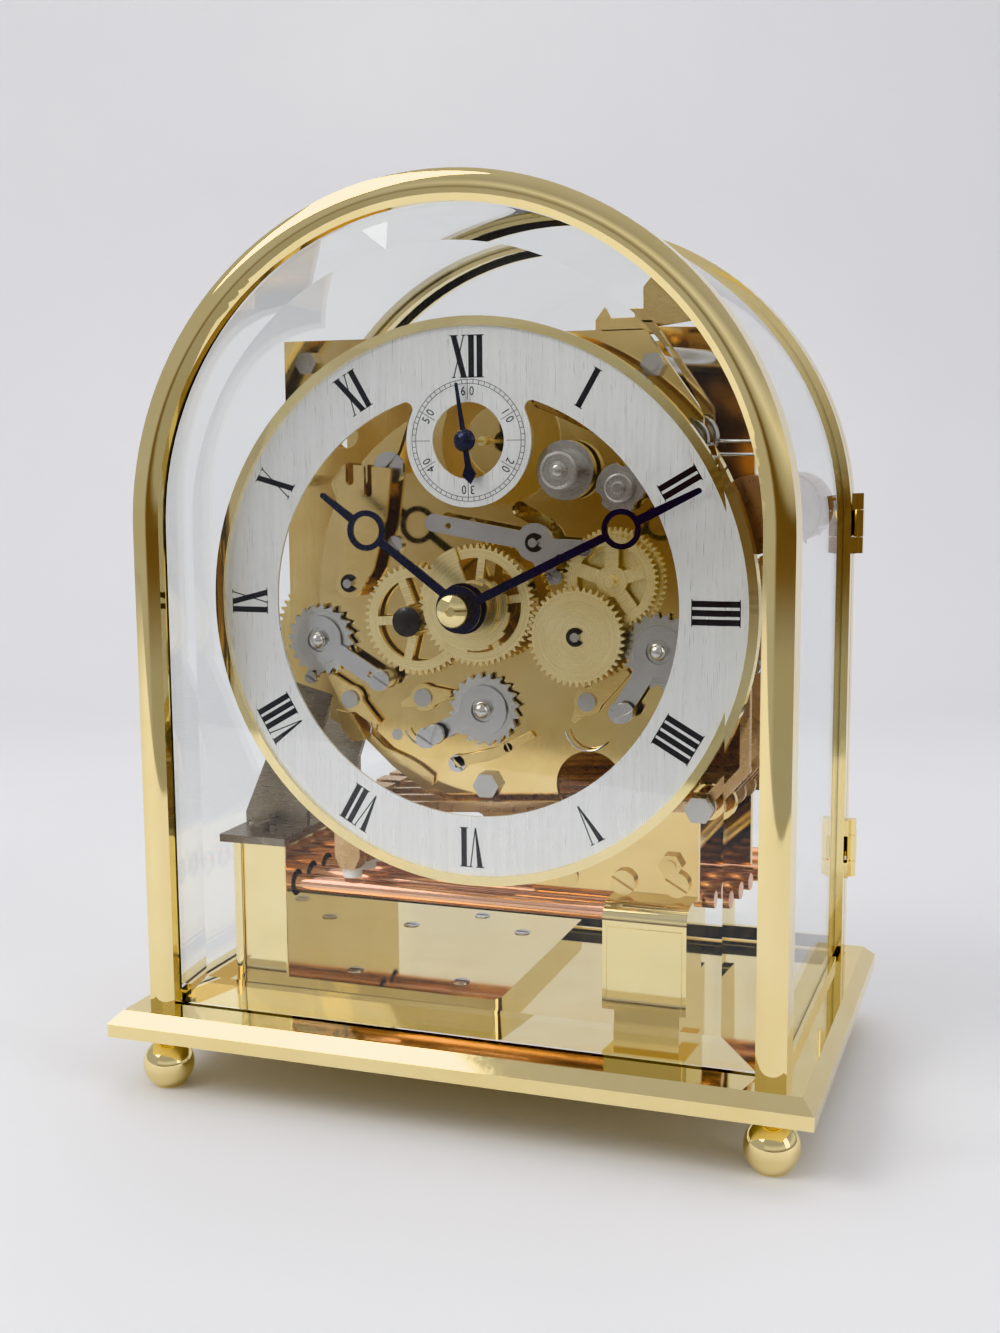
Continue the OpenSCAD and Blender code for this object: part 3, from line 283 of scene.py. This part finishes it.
# ---------------------------------------------------------------- mesh helpers
class Shape:
    """Collects simple solids in one mesh."""

    def __init__(self):
        self.mesh = bmesh.new()

    def prism(self, outline, front, back):
        """An outline in X and Z, run from one depth to another."""
        near = [self.mesh.verts.new((x, front, z)) for x, z in outline]
        far = [self.mesh.verts.new((x, back, z)) for x, z in outline]
        self.mesh.faces.new(near)
        self.mesh.faces.new(list(reversed(far)))
        for i in range(len(outline)):
            j = (i + 1) % len(outline)
            self.mesh.faces.new((near[j], near[i], far[i], far[j]))

    def lathe(self, profile, origin, axis, steps=40):
        """A closed profile of (radius, height) turned about an axis through origin."""
        turn = Vector((0, 0, 1)).rotation_difference(Vector(axis)).to_matrix()
        rings = []
        for radius, height in profile:
            ring = []
            for i in range(steps):
                a = 2 * math.pi * i / steps
                point = turn @ Vector((radius * math.cos(a), radius * math.sin(a), height))
                ring.append(self.mesh.verts.new(point + Vector(origin)))
            rings.append(ring)
        for first, second in zip(rings, rings[1:]):
            for i in range(steps):
                j = (i + 1) % steps
                self.mesh.faces.new((first[i], first[j], second[j], second[i]))
        self.mesh.faces.new(list(reversed(rings[0])))
        self.mesh.faces.new(rings[-1])

    def tube(self, path, radius, steps=10):
        """Round wire along a list of points."""
        points = [Vector(p) for p in path]
        side = None
        rings = []
        for i, point in enumerate(points):
            ahead = points[min(i + 1, len(points) - 1)] - points[max(i - 1, 0)]
            ahead.normalize()
            if side is None:
                side = ahead.orthogonal().normalized()
            side = (side - ahead * side.dot(ahead)).normalized()
            other = ahead.cross(side)
            ring = []
            for k in range(steps):
                a = 2 * math.pi * k / steps
                ring.append(self.mesh.verts.new(point + radius * (math.cos(a) * side + math.sin(a) * other)))
            rings.append(ring)
        for first, second in zip(rings, rings[1:]):
            for k in range(steps):
                m = (k + 1) % steps
                self.mesh.faces.new((first[k], first[m], second[m], second[k]))
        self.mesh.faces.new(list(reversed(rings[0])))
        self.mesh.faces.new(rings[-1])

    def piece(self, name, material, body, bevel=0.0, smooth=True):
        bmesh.ops.recalc_face_normals(self.mesh, faces=self.mesh.faces)
        data = bpy.data.meshes.new(name)
        self.mesh.to_mesh(data)
        self.mesh.free()
        made = bpy.data.objects.new(name, data)
        bpy.context.scene.collection.objects.link(made)
        data.materials.append(material)
        if smooth:
            data.shade_smooth()
            data.set_sharp_from_angle(angle=math.radians(35))
        if bevel:
            soften(made, bevel)
        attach(made, body)
        return made


def soften(made, width):
    """Rounds the sharp edges a little, so that they catch the light."""
    edge = made.modifiers.new("edges", "BEVEL")
    edge.width = width
    edge.segments = 2
    edge.limit_method = "ANGLE"
    edge.angle_limit = math.radians(40)
    edge.harden_normals = True


def screw(shape, centre, radius, front, height, slot_turn=0.6):
    """Cheese-head screw facing front, with a real slot between its two halves."""
    x, z = centre
    gap = radius * 0.16
    for side in (0, 1):
        start = slot_turn + math.pi * side
        lean = math.asin(gap / radius)
        outline = []
        for i in range(17):
            a = start + lean + (math.pi - 2 * lean) * i / 16
            outline.append((x + radius * math.cos(a), z + radius * math.sin(a)))
        shape.prism(outline, front - height, front)
    shape.lathe([(radius * 0.97, 0), (radius * 0.97, height * 0.45)], (x, front, z), (0, -1, 0), 24)


def shade(node, material, bevel=0.0):
    """Gives a CAD node its finish."""
    made = frame["nodes"][node]
    made.data.materials.clear()
    made.data.materials.append(material)
    made.data.shade_smooth()
    made.data.set_sharp_from_angle(angle=math.radians(28))
    if bevel:
        soften(made, bevel)
    return made


# ---------------------------------------------------------------- dial
ROMAN = ["XII", "I", "II", "III", "IIII", "V", "VI", "VII", "VIII", "IX", "X", "XI"]
NUMERAL_IN = DIAL_OUT - 17.8 * MM
NUMERAL_HEIGHT = 13.4 * MM
THICK = 1.9 * MM
THIN = 0.36 * MM
SERIF = 0.3 * MM
FLARE = 0.5 * MM
PAINT = 0.06 * MM


def stem(foot, head, foot_width, head_width):
    """A straight stroke of a numeral, from the inner edge to the outer one."""
    h = NUMERAL_HEIGHT
    return [(foot - foot_width / 2, 0), (foot + foot_width / 2, 0),
            (head + head_width / 2, h), (head - head_width / 2, h)]


def serif(place, width, level):
    """A hairline across one end of a stroke."""
    half = width / 2 + FLARE
    return [(place - half, level), (place + half, level),
            (place + half, level + SERIF), (place - half, level + SERIF)]


def letter_i():
    top = NUMERAL_HEIGHT - SERIF
    return [stem(0, 0, THICK, THICK), serif(0, THICK, 0), serif(0, THICK, top)]


def letter_v():
    left, right = -1.55 * MM, 1.85 * MM
    top = NUMERAL_HEIGHT - SERIF
    return [stem(0, left, THIN, THICK), stem(0.05 * MM, right, THIN, THIN),
            serif(left, THICK, top), serif(right, THIN, top)]


def letter_x():
    reach = 1.75 * MM
    top = NUMERAL_HEIGHT - SERIF
    return [stem(reach, -reach, THICK, THICK), stem(-reach, reach, THIN, THIN),
            serif(-reach, THICK, top), serif(reach, THIN, top), serif(reach, THICK, 0), serif(-reach, THIN, 0)]


GLYPHS = {"I": (2.85 * MM, letter_i), "V": (5.3 * MM, letter_v), "X": (5.6 * MM, letter_x)}


def on_dial(centre, angle, across, out):
    """A point given across and out along a clockwise angle from twelve."""
    s, c = math.sin(angle), math.cos(angle)
    return (centre.x + out * s + across * c, centre.z + out * c - across * s)


def printed(shape, outline):
    """A thin layer of paint on the face of the dial."""
    shape.prism(outline, DIAL_FACE - PAINT, DIAL_FACE + BITE)


def hour_numerals():
    """Twelve Roman hours, their feet towards the centre."""
    shape = Shape()
    for hour, word in enumerate(ROMAN):
        angle = math.radians(30 * hour)
        widths = [GLYPHS[letter][0] for letter in word]
        start = -sum(widths) / 2
        for letter, width in zip(word, widths):
            centre = start + width / 2
            start += width
            for outline in GLYPHS[letter][1]():
                placed = [on_dial(DIAL, angle, centre + u, NUMERAL_IN + v) for u, v in outline]
                printed(shape, placed)
    shape.piece("hour_numerals", ENAMEL, "case", smooth=False)


def ring_band(shape, centre, inner, outer, steps=120):
    """A flat printed ring on the dial face."""
    for i in range(steps):
        a, b = 2 * math.pi * i / steps, 2 * math.pi * (i + 1) / steps
        outline = [on_dial(centre, a, 0, inner), on_dial(centre, a, 0, outer)]
        outline += [on_dial(centre, b, 0, outer), on_dial(centre, b, 0, inner)]
        printed(shape, outline)


def digits(shape, text, centre, angle, across, out, size):
    """One printed figure as a thin solid, standing with its foot towards the centre."""
    curve = bpy.data.curves.new("figure", "FONT")
    curve.body = text
    curve.size = size
    curve.align_x = "CENTER"
    holder = bpy.data.objects.new("figure", curve)
    bpy.context.scene.collection.objects.link(holder)
    flat = bpy.data.meshes.new_from_object(holder)
    for polygon in flat.polygons:
        outline = []
        for index in polygon.vertices:
            p = flat.vertices[index].co
            outline.append(on_dial(centre, angle, across + p.x * FIGURE_WIDTH, out + p.y))
        printed(shape, outline)
    bpy.data.objects.remove(holder)
    bpy.data.meshes.remove(flat)


TRACK_OUT = 19.4 * MM
TRACK_IN = 18.1 * MM
QUARTER_IN = 15.4 * MM
BOUNDARY_IN = 13.0 * MM
LINE = 0.16 * MM
FIGURE_SIZE = 4.0 * MM
FIGURE_PLACE = 14.3 * MM
FIGURE_ASIDE = 1.45 * MM
# width of a printed figure as a share of the font's own
FIGURE_WIDTH = 0.82


def radial_line(shape, angle, inner, outer):
    """A printed line of the seconds scale, pointing at its centre."""
    box = [(-LINE / 2, inner), (LINE / 2, inner), (LINE / 2, outer), (-LINE / 2, outer)]
    printed(shape, [on_dial(SECONDS, angle, u, v) for u, v in box])


def seconds_scale():
    """Two rings, a line for each second and a figure for each ten."""
    shape = Shape()
    for radius in (TRACK_OUT, TRACK_IN):
        ring_band(shape, SECONDS, radius - LINE, radius)
    for second in range(60):
        angle = math.radians(6 * second)
        reach = QUARTER_IN if second % 15 == 0 else TRACK_IN
        inner = BOUNDARY_IN if second in (15, 45) else reach
        radial_line(shape, angle, inner, TRACK_OUT)
    for ten in range(1, 7):
        angle = math.radians(60 * ten)
        radial_line(shape, angle, BOUNDARY_IN, TRACK_IN)
        for side, figure in ((-1, str(ten)), (1, "0")):
            digits(shape, figure, SECONDS, angle, side * FIGURE_ASIDE, FIGURE_PLACE, FIGURE_SIZE)
    shape.piece("seconds_scale", ENAMEL, "case", smooth=False)


# ---------------------------------------------------------------- small pieces of the movement
def arc(centre, radius, start, end, steps, depth):
    """Points along an arc facing front."""
    points = []
    for i in range(steps + 1):
        a = math.radians(start + (end - start) * i / steps)
        points.append((centre[0] + radius * math.cos(a), depth, centre[1] + radius * math.sin(a)))
    return points


# depths, in millimetres, of the clips on three posts
CLIP_DEPTHS = {"day_wheel": -35.6, "lift_lever": -32.9, "rack_lever": -32.0}
CLIP_OUT = 3.1 * MM
CLIP_IN = 1.6 * MM
CLIP_GAP = 35


def post_clips():
    """Black retaining clips on the ends of the posts and arbors."""
    shape = Shape()
    sweep = 360 - 2 * CLIP_GAP
    for body, depth in CLIP_DEPTHS.items():
        place = joint_place(body)
        outline = []
        for i in range(25):
            a = math.radians(CLIP_GAP + sweep * i / 24)
            outline.append((place.x + CLIP_OUT * math.cos(a), place.z + CLIP_OUT * math.sin(a)))
        for i in range(25):
            a = math.radians(CLIP_GAP + sweep - sweep * i / 24)
            outline.append((place.x + CLIP_IN * math.cos(a), place.z + CLIP_IN * math.sin(a)))
        shape.prism(outline, depth * MM, depth * MM + 0.6 * MM)
    shape.piece("post_clips", BLACK, "case", 0.1 * MM)


def wheel_clip():
    """Black clip in front of the minute wheel; it turns with the wheel."""
    place = joint_place("minute_wheel")
    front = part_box("minute_wheel")[0].y + 1.2 * MM
    shape = Shape()
    profile = [(1.2, 0), (5.0, 0), (5.0, 0.7), (3.4, 1.5), (1.2, 1.5)]
    shape.lathe(in_mm(profile), (place.x, front + 0.1 * MM, place.z), (0, -1, 0))
    shape.piece("minute_wheel_clip", BLACK, "minute_wheel", 0.1 * MM)


# places, in millimetres, of the screws in the stand's foot
STAND_SCREWS = [(-50, -26), (-10, -26), (-52, 30), (-8, 34), (-30, 50)]
# half length and heights above the foot of the flat black strips that paint the shade of the screws' slots,
# which are not cut
SLOT_SHADE_HALF = 2.3
SLOT_SHADE_LOW = 0.46 * MM
SLOT_SHADE_HIGH = 0.52 * MM


def stand_screws():
    """Flush screws that hold the stand's foot to the base, each with a thin black strip laid across its top as
    painted shade in place of a cut slot.
    """
    top = DECK + FOOT_PLATE
    shape = Shape()
    slot_shade = Shape()
    for x, y in STAND_SCREWS:
        profile = in_mm([(3.1, -0.2), (3.1, 0.25), (2.7, 0.45)])
        shape.lathe(profile, (x * MM, y * MM, top), (0, 0, 1), 28)
        # the black strip over each head is painted shade standing in for the dark hollow of a slot
        left, right = (x - SLOT_SHADE_HALF) * MM, (x + SLOT_SHADE_HALF) * MM
        outline = [(left, top + SLOT_SHADE_LOW), (right, top + SLOT_SHADE_LOW),
                   (right, top + SLOT_SHADE_HIGH), (left, top + SLOT_SHADE_HIGH)]
        slot_shade.prism(outline, (y - 0.4) * MM, (y + 0.4) * MM)
    shape.piece("stand_screws", STEEL, "case")
    slot_shade.piece("stand_screw_slot_shade", BLACK, "case", smooth=False)


# start of each click's spring, in degrees, and the heights of the drum's wires about its axis
SPRING_STARTS = {"click_time": 200, "click_strike": -20, "click_chime": 190}
LOOP_LIFTS = (22, -30, -46)
LOOP_DEPTH = -24 * MM
LOOP_LENGTH = 12 * MM


def wire_loop(shape, start, height):
    """A wire that runs to the right, turns back and ends under its own start."""
    end = start + LOOP_LENGTH
    path = [(start, LOOP_DEPTH, height), (end, LOOP_DEPTH, height)]
    for i in range(9):
        a = math.radians(90 - 180 * i / 8)
        path.append((end + 2 * MM * math.cos(a), LOOP_DEPTH, height - 2 * MM + 2 * MM * math.sin(a)))
    path.append((start, LOOP_DEPTH, height - 4 * MM))
    shape.tube(path, 0.5 * MM, 8)


def wire_springs():
    """Steel wire springs of the clicks and the looped wires beside the chime drum."""
    shape = Shape()
    depth = PLATE_FACE - 2.6 * MM
    for body, turn in SPRING_STARTS.items():
        place = joint_place(body)
        centre = (place.x, place.z - 9 * MM)
        shape.tube(arc(centre, 7.5 * MM, turn, turn + 130, 18, depth), 0.35 * MM, 8)
    drum = joint_place("chime_drum")
    for lift in LOOP_LIFTS:
        wire_loop(shape, drum.x - 13 * MM, drum.z + lift * MM)
    shape.piece("wire_springs", STEEL, "case")


def block_face():
    """Bright bevelled border of the block under the right corner of the plate."""
    low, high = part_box("gong_blocks")
    front = low.y
    shape = Shape()
    left, right = 43.5 * MM, high.x
    bottom, top = DECK + FOOT_PLATE, high.z - FOOT_PLATE
    inset = 1.4 * MM
    outline = [(left + inset, bottom + inset), (right - inset, bottom + inset),
               (right - inset, top - inset), (left + inset, top - inset)]
    shape.prism(outline, front - 0.25 * MM, front + 0.2 * MM)
    shape.piece("block_face", POLISHED, "case", 0.2 * MM)


def top_brackets():
    """Stepped brass brackets that stand on the top edge of the movement."""
    shape = Shape()
    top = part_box("front_plate")[1].z
    steps = [(36, 0), (36, 5), (39, 9), (41, 5.5), (49, 5.5), (49, 12), (53, 17), (58, 17),
             (58, 9), (67, 9), (67, 2), (54, 0)]
    outline = [(x * MM, top + (z - 1) * MM) for x, z in steps]
    front = PLATE_FACE + 6 * MM
    shape.prism(outline, front, front + 1.6 * MM)
    foot = [(38 * MM, top - 9 * MM), (52 * MM, top - 9 * MM), (52 * MM, top + MM), (38 * MM, top + MM)]
    shape.prism(foot, front, front + 1.6 * MM)
    shape.piece("top_brackets", SATIN, "case", 0.15 * MM)


# places and radii, in millimetres, of the rivets and small screws on the front plate
STUDS = [(58.2, 244.3, 1.7), (44, 238, 1.2), (-10.5, 111.4, 3.0), (24.2, 175.5, 2.6),
         (-32.5, 185.4, 3.0), (-34, 211.2, 5.4), (8, 118, 1.6), (52, 118, 2.2)]
# places, front faces and radii, in millimetres, of the two nickel rollers
ROLLERS = [(29.4, 210.2, -38.0, 6.0), (47.4, 204.6, -32.2, 4.6)]
# outline of a roller's face, as shares of its radius and heights in millimetres
ROLLER_STEPS = [(1, 0), (1, 0.3), (0.86, 0.45), (0.84, 0.2), (0.5, 0.2), (0.48, 0.7),
                (0.3, 0.8), (0.28, 1.6), (0.2, 1.8)]
# places, in millimetres, and slot angles of the screws in the ratchet covers
COVER_SCREWS = [(-35.6, 139.9, 2.6), (-16.1, 122.3, 1.2), (49.4, 132.6, 0.5)]


def plate_studs():
    """Rivets and small screws on the front plate."""
    shape = Shape()
    for x, z, r in STUDS:
        screw(shape, (x * MM, z * MM), r * MM, PLATE_FACE, 1.8 * MM, 0.3 + x)
    shape.piece("plate_studs", STEEL, "case")


def roller_faces():
    """Turned steps and centre pins on the fronts of the two nickel rollers."""
    shape = Shape()
    for x, z, front, r in ROLLERS:
        profile = in_mm([(share * r, height) for share, height in ROLLER_STEPS])
        shape.lathe(profile, (x * MM, front * MM, z * MM), (0, -1, 0), 48)
    shape.piece("roller_faces", NICKEL, "case")


def cover_screws():
    """Large slotted screws that hold the covers of the three ratchets."""
    shape = Shape()
    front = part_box("ratchet_covers")[0].y
    for x, z, turn in COVER_SCREWS:
        screw(shape, (x * MM, z * MM), 3.3 * MM, front, 1.9 * MM, turn)
    shape.piece("cover_screws", STEEL, "case", 0.12 * MM)


def nut_cap():
    """Turned cone on the front of the hand nut."""
    low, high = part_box("hand_nut")
    centre = ((low.x + high.x) / 2, low.y, (low.z + high.z) / 2)
    profile = [(4.9, 0), (4.9, 0.25), (4.3, 0.55), (1.7, 1.5), (1.5, 1.5), (1.4, 0.9), (0.2, 0.9)]
    shape = Shape()
    shape.lathe(in_mm(profile), centre, (0, -1, 0), 48)
    shape.piece("hand_nut_cap", POLISHED, "minute_train")


# thickness of the brass strips on the front plate
STRIP = 1.4 * MM


def lower_guard():
    """Brass guard between the lower left edge of the front plate and the hammers."""
    shape = Shape()
    top = [(-59, 137), (-44, 128), (-32, 117), (-20, 106), (-10, 101)]
    bottom = [(-14, 97), (-24, 100), (-36, 108), (-46, 117), (-60, 124)]
    front = PLATE_FACE + 2.8 * MM
    shape.prism(in_mm(top + bottom), front, front + STRIP)
    shape.piece("lower_guard", SATIN, "case", 0.15 * MM)


def guard_levers():
    """Curved amber levers at the lower left of the plate."""
    shape = Shape()
    front = PLATE_FACE - 2.2 * MM
    spine = [(-42, 118.5), (-37, 114), (-32, 112), (-28, 110.5), (-24, 108.5), (-19, 105)]
    upper = [(x, z + 1.9) for x, z in spine]
    lower = [(x - 0.4, z - 1.7) for x, z in reversed(spine)]
    shape.prism(in_mm(upper + lower), front, front + STRIP)
    arm = [(-55, 128), (-49, 127), (-46, 121.5), (-44, 118), (-49, 117), (-53, 121)]
    shape.prism(in_mm(arm), front, front + STRIP)
    bar = [(-12, 113.6), (2, 117.2), (16, 124), (17.6, 122), (4, 114), (-11, 109.8)]
    shape.prism(in_mm(bar), front + 0.4 * MM, front + 0.4 * MM + STRIP)
    shape.piece("guard_levers", SATIN, "case", 0.15 * MM)


# ---------------------------------------------------------------- finishes of the CAD nodes
def finish_nodes():
    """Finishes of the case, the dial, the hands, the plates and the levers."""
    for node in ("base_plate", "front_frame", "rear_frame", "door_frame"):
        shade(node, POLISHED, 0.25 * MM)
    for node in ("base_feet", "door_hinges", "door_knob", "dial_bezel", "hand_nut"):
        shade(node, POLISHED)
    for node in ("front_glass", "hood_glass", "door_glass"):
        shade(node, GLASS).visible_shadow = False
    shade("movement_stand", POLISHED, 0.3 * MM)
    shade("gong_blocks", POLISHED, 0.3 * MM)
    shade("seat_bracket", DARK, 0.2 * MM)
    shade("chime_rods", COPPER)
    shade("dial_ring", SILVER)
    for node in ("hour_hand", "minute_hand", "seconds_hand"):
        shade(node, BLUED, 0.08 * MM)
    for node in ("front_plate", "back_plate", "platform"):
        shade(node, PLATE, 0.12 * MM)
    for node in ("rack_lever", "click_time", "click_strike", "click_chime"):
        shade(node, SATIN, 0.12 * MM)
    for node in ("ratchet_covers", "lift_lever", "pallet_lever"):
        shade(node, STEEL, 0.1 * MM)
    for node in ("plate_hardware", "plate_pillars"):
        shade(node, FITTINGS, 0.1 * MM)
    shade("chime_drum", BRONZE)
    for number in range(1, 9):
        shade(f"hammer_{number}", HAMMER, 0.15 * MM)


WHEELS = {
    "minute_arbor": "minute_train", "minute_wheel": "minute_wheel", "hour_wheel": "hour_train",
    "day_wheel": "day_wheel", "third_wheel": "third_wheel", "seconds_arbor": "seconds_train",
    "barrel_time": "barrel_time", "barrel_strike": "barrel_strike", "barrel_chime": "barrel_chime",
    "strike_wheel": "strike_wheel", "chime_wheel": "chime_wheel", "drum_idler": "drum_idler",
    "strike_fly": "strike_fly", "chime_fly": "chime_fly",
}


def finish_wheels():
    """Lathe-turned brass wheels, steel winding arbors and the small wheels of the escapement."""
    for node, body in WHEELS.items():
        shade(node, turned("turned_" + node, joint_place(body), WHEEL_LIGHT, WHEEL_DARK, 0.3))
    for part in ("time", "strike", "chime"):
        centre = joint_place("winding_" + part)
        name = "winding_arbor_" + part
        shade(name, turned("turned_" + name, centre, (0.70, 0.69, 0.66), (0.56, 0.55, 0.52), 0.22))
    shade("escape_wheel", SATIN)
    shade("balance_wheel", SATIN)


# ---------------------------------------------------------------- floor, light and camera
def paper():
    """Matt pale paper for the floor and the background."""
    n = Nodes("pale_paper", Roughness=0.7, Specular_IOR_Level=0.25)
    n.colour(n.blend(n.spread(n.noise(3), 0, 1), (0.80, 0.80, 0.81), (0.77, 0.77, 0.785)))
    n.bump(n.noise(400), 0.05, 0.0002)
    return n.material


SHEET_FRONT = -0.52
SHEET_BACK = 0.75
SHEET_CURVE = 0.5
SHEET_REACH = 2.6


def backdrop():
    """A pale sheet that runs along the floor and curves up behind the clock."""
    outline = [(SHEET_FRONT, 0), (SHEET_BACK, 0)]
    for i in range(1, 13):
        a = math.radians(90 * i / 12)
        outline.append((SHEET_BACK + SHEET_CURVE * math.sin(a), SHEET_CURVE - SHEET_CURVE * math.cos(a)))
    outline.append((SHEET_BACK + SHEET_CURVE, SHEET_REACH))
    mesh = bmesh.new()
    rows = [[mesh.verts.new((x, y, z)) for y, z in outline] for x in (-SHEET_REACH, SHEET_REACH)]
    for i in range(len(outline) - 1):
        mesh.faces.new((rows[0][i], rows[1][i], rows[1][i + 1], rows[0][i + 1]))
    data = bpy.data.meshes.new("backdrop")
    mesh.to_mesh(data)
    mesh.free()
    data.materials.append(paper())
    data.shade_smooth()
    sheet = bpy.data.objects.new("backdrop", data)
    bpy.context.scene.collection.objects.link(sheet)
    sheet.rotation_euler = (0, 0, CAMERA_TURN)


def area_light(name, place, aim, size, power, colour=(1, 1, 1)):
    data = bpy.data.lights.new(name, "AREA")
    data.shape = "RECTANGLE"
    data.size, data.size_y = size
    data.energy = power
    data.color = colour
    light = bpy.data.objects.new(name, data)
    bpy.context.scene.collection.objects.link(light)
    light.location = place
    light.rotation_euler = (Vector(aim) - Vector(place)).to_track_quat("-Z", "Y").to_euler()


# the room around the clock, from straight down (0) over the horizon (0.5) to straight up (1)
ROOM = [
    (0.0, (0.36, 0.36, 0.38)), (0.435, (0.38, 0.375, 0.37)), (0.465, (0.15, 0.10, 0.065)),
    (0.495, (0.13, 0.085, 0.055)), (0.52, (0.34, 0.33, 0.32)), (0.60, (0.72, 0.72, 0.74)),
    (0.72, (0.40, 0.40, 0.43)), (1.0, (0.52, 0.52, 0.56)),
]
# how far to the left, as a share of a unit direction, the bright wall of the room begins
LEFT_WALL = -0.36
WALL_BLUR = 0.08
WALL_COLOUR = (0.46, 0.46, 0.48, 1)


def studio():
    """Three soft lights and the room that the polished metal reflects."""
    area_light("key", (-0.9, -0.9, 1.3), (0, 0, 0.15), (0.9, 0.9), 14, (1, 0.985, 0.96))
    area_light("top", (0.1, 0.3, 1.7), (0, 0, 0.1), (1.6, 1.2), 8)
    area_light("side", (1.5, -0.4, 0.8), (0, 0, 0.15), (0.5, 1.2), 7, (0.96, 0.98, 1))
    world = bpy.data.worlds.new("studio")
    bpy.context.scene.world = world
    world.use_nodes = True
    room_colours(world.node_tree)


def room_colours(tree):
    """A tall gradient with a dark band at the horizon, and a plain pale wall on the left."""
    place = tree.nodes.new("ShaderNodeTexCoord")
    split = tree.nodes.new("ShaderNodeSeparateXYZ")
    tree.links.new(place.outputs["Generated"], split.inputs[0])
    level = tree.nodes.new("ShaderNodeMapRange")
    level.inputs["From Min"].default_value = -1.0
    tree.links.new(split.outputs["Z"], level.inputs["Value"])
    ramp = tree.nodes.new("ShaderNodeValToRGB")
    tree.links.new(level.outputs["Result"], ramp.inputs["Fac"])
    stops = ramp.color_ramp.elements
    stops[0].position, stops[0].color = ROOM[0][0], (*ROOM[0][1], 1)
    stops[1].position, stops[1].color = ROOM[-1][0], (*ROOM[-1][1], 1)
    for position, colour in ROOM[1:-1]:
        stops.new(position).color = (*colour, 1)
    side = tree.nodes.new("ShaderNodeMapRange")
    side.inputs["From Min"].default_value = LEFT_WALL - WALL_BLUR
    side.inputs["From Max"].default_value = LEFT_WALL + WALL_BLUR
    tree.links.new(split.outputs["X"], side.inputs["Value"])
    room = tree.nodes.new("ShaderNodeMix")
    room.data_type = "RGBA"
    room.inputs[6].default_value = WALL_COLOUR
    tree.links.new(side.outputs["Result"], room.inputs["Factor"])
    tree.links.new(ramp.outputs["Color"], room.inputs[7])
    background = tree.nodes["Background"]
    tree.links.new(room.outputs[2], background.inputs["Color"])
    background.inputs["Strength"].default_value = 1.0


CAMERA_TURN = math.radians(19.6)
CAMERA_LIFT = math.radians(7.61)
CAMERA_ROLL = math.radians(0.39)
CAMERA_DISTANCE = 551.4 * MM
CAMERA_LENS = 42.22
SENSOR_WIDTH = 36
CAMERA_AIM = Vector((-4.7 * MM, 0, 141.3 * MM))


def camera():
    """The camera, at the angle and distance of the photograph."""
    data = bpy.data.cameras.new("camera")
    data.lens = CAMERA_LENS
    data.sensor_width = SENSOR_WIDTH
    data.clip_start = 0.01
    made = bpy.data.objects.new("camera", data)
    bpy.context.scene.collection.objects.link(made)
    back = Vector((math.sin(CAMERA_TURN) * math.cos(CAMERA_LIFT),
                   -math.cos(CAMERA_TURN) * math.cos(CAMERA_LIFT), math.sin(CAMERA_LIFT)))
    right = Vector((math.cos(CAMERA_TURN), math.sin(CAMERA_TURN), 0))
    up = back.cross(right)
    turn = Matrix((right, up, back)).transposed()
    made.matrix_world = (Matrix.Translation(CAMERA_AIM + back * CAMERA_DISTANCE) @ turn.to_4x4()
                         @ Matrix.Rotation(-CAMERA_ROLL, 4, "Z"))
    bpy.context.scene.camera = made


camera()
backdrop()
studio()
finish_nodes()
finish_wheels()
hour_numerals()
seconds_scale()
post_clips()
wheel_clip()
stand_screws()
wire_springs()
block_face()
top_brackets()
plate_studs()
roller_faces()
cover_screws()
nut_cap()
lower_guard()
guard_levers()
bpy.context.scene.view_settings.view_transform = "Khronos PBR Neutral"
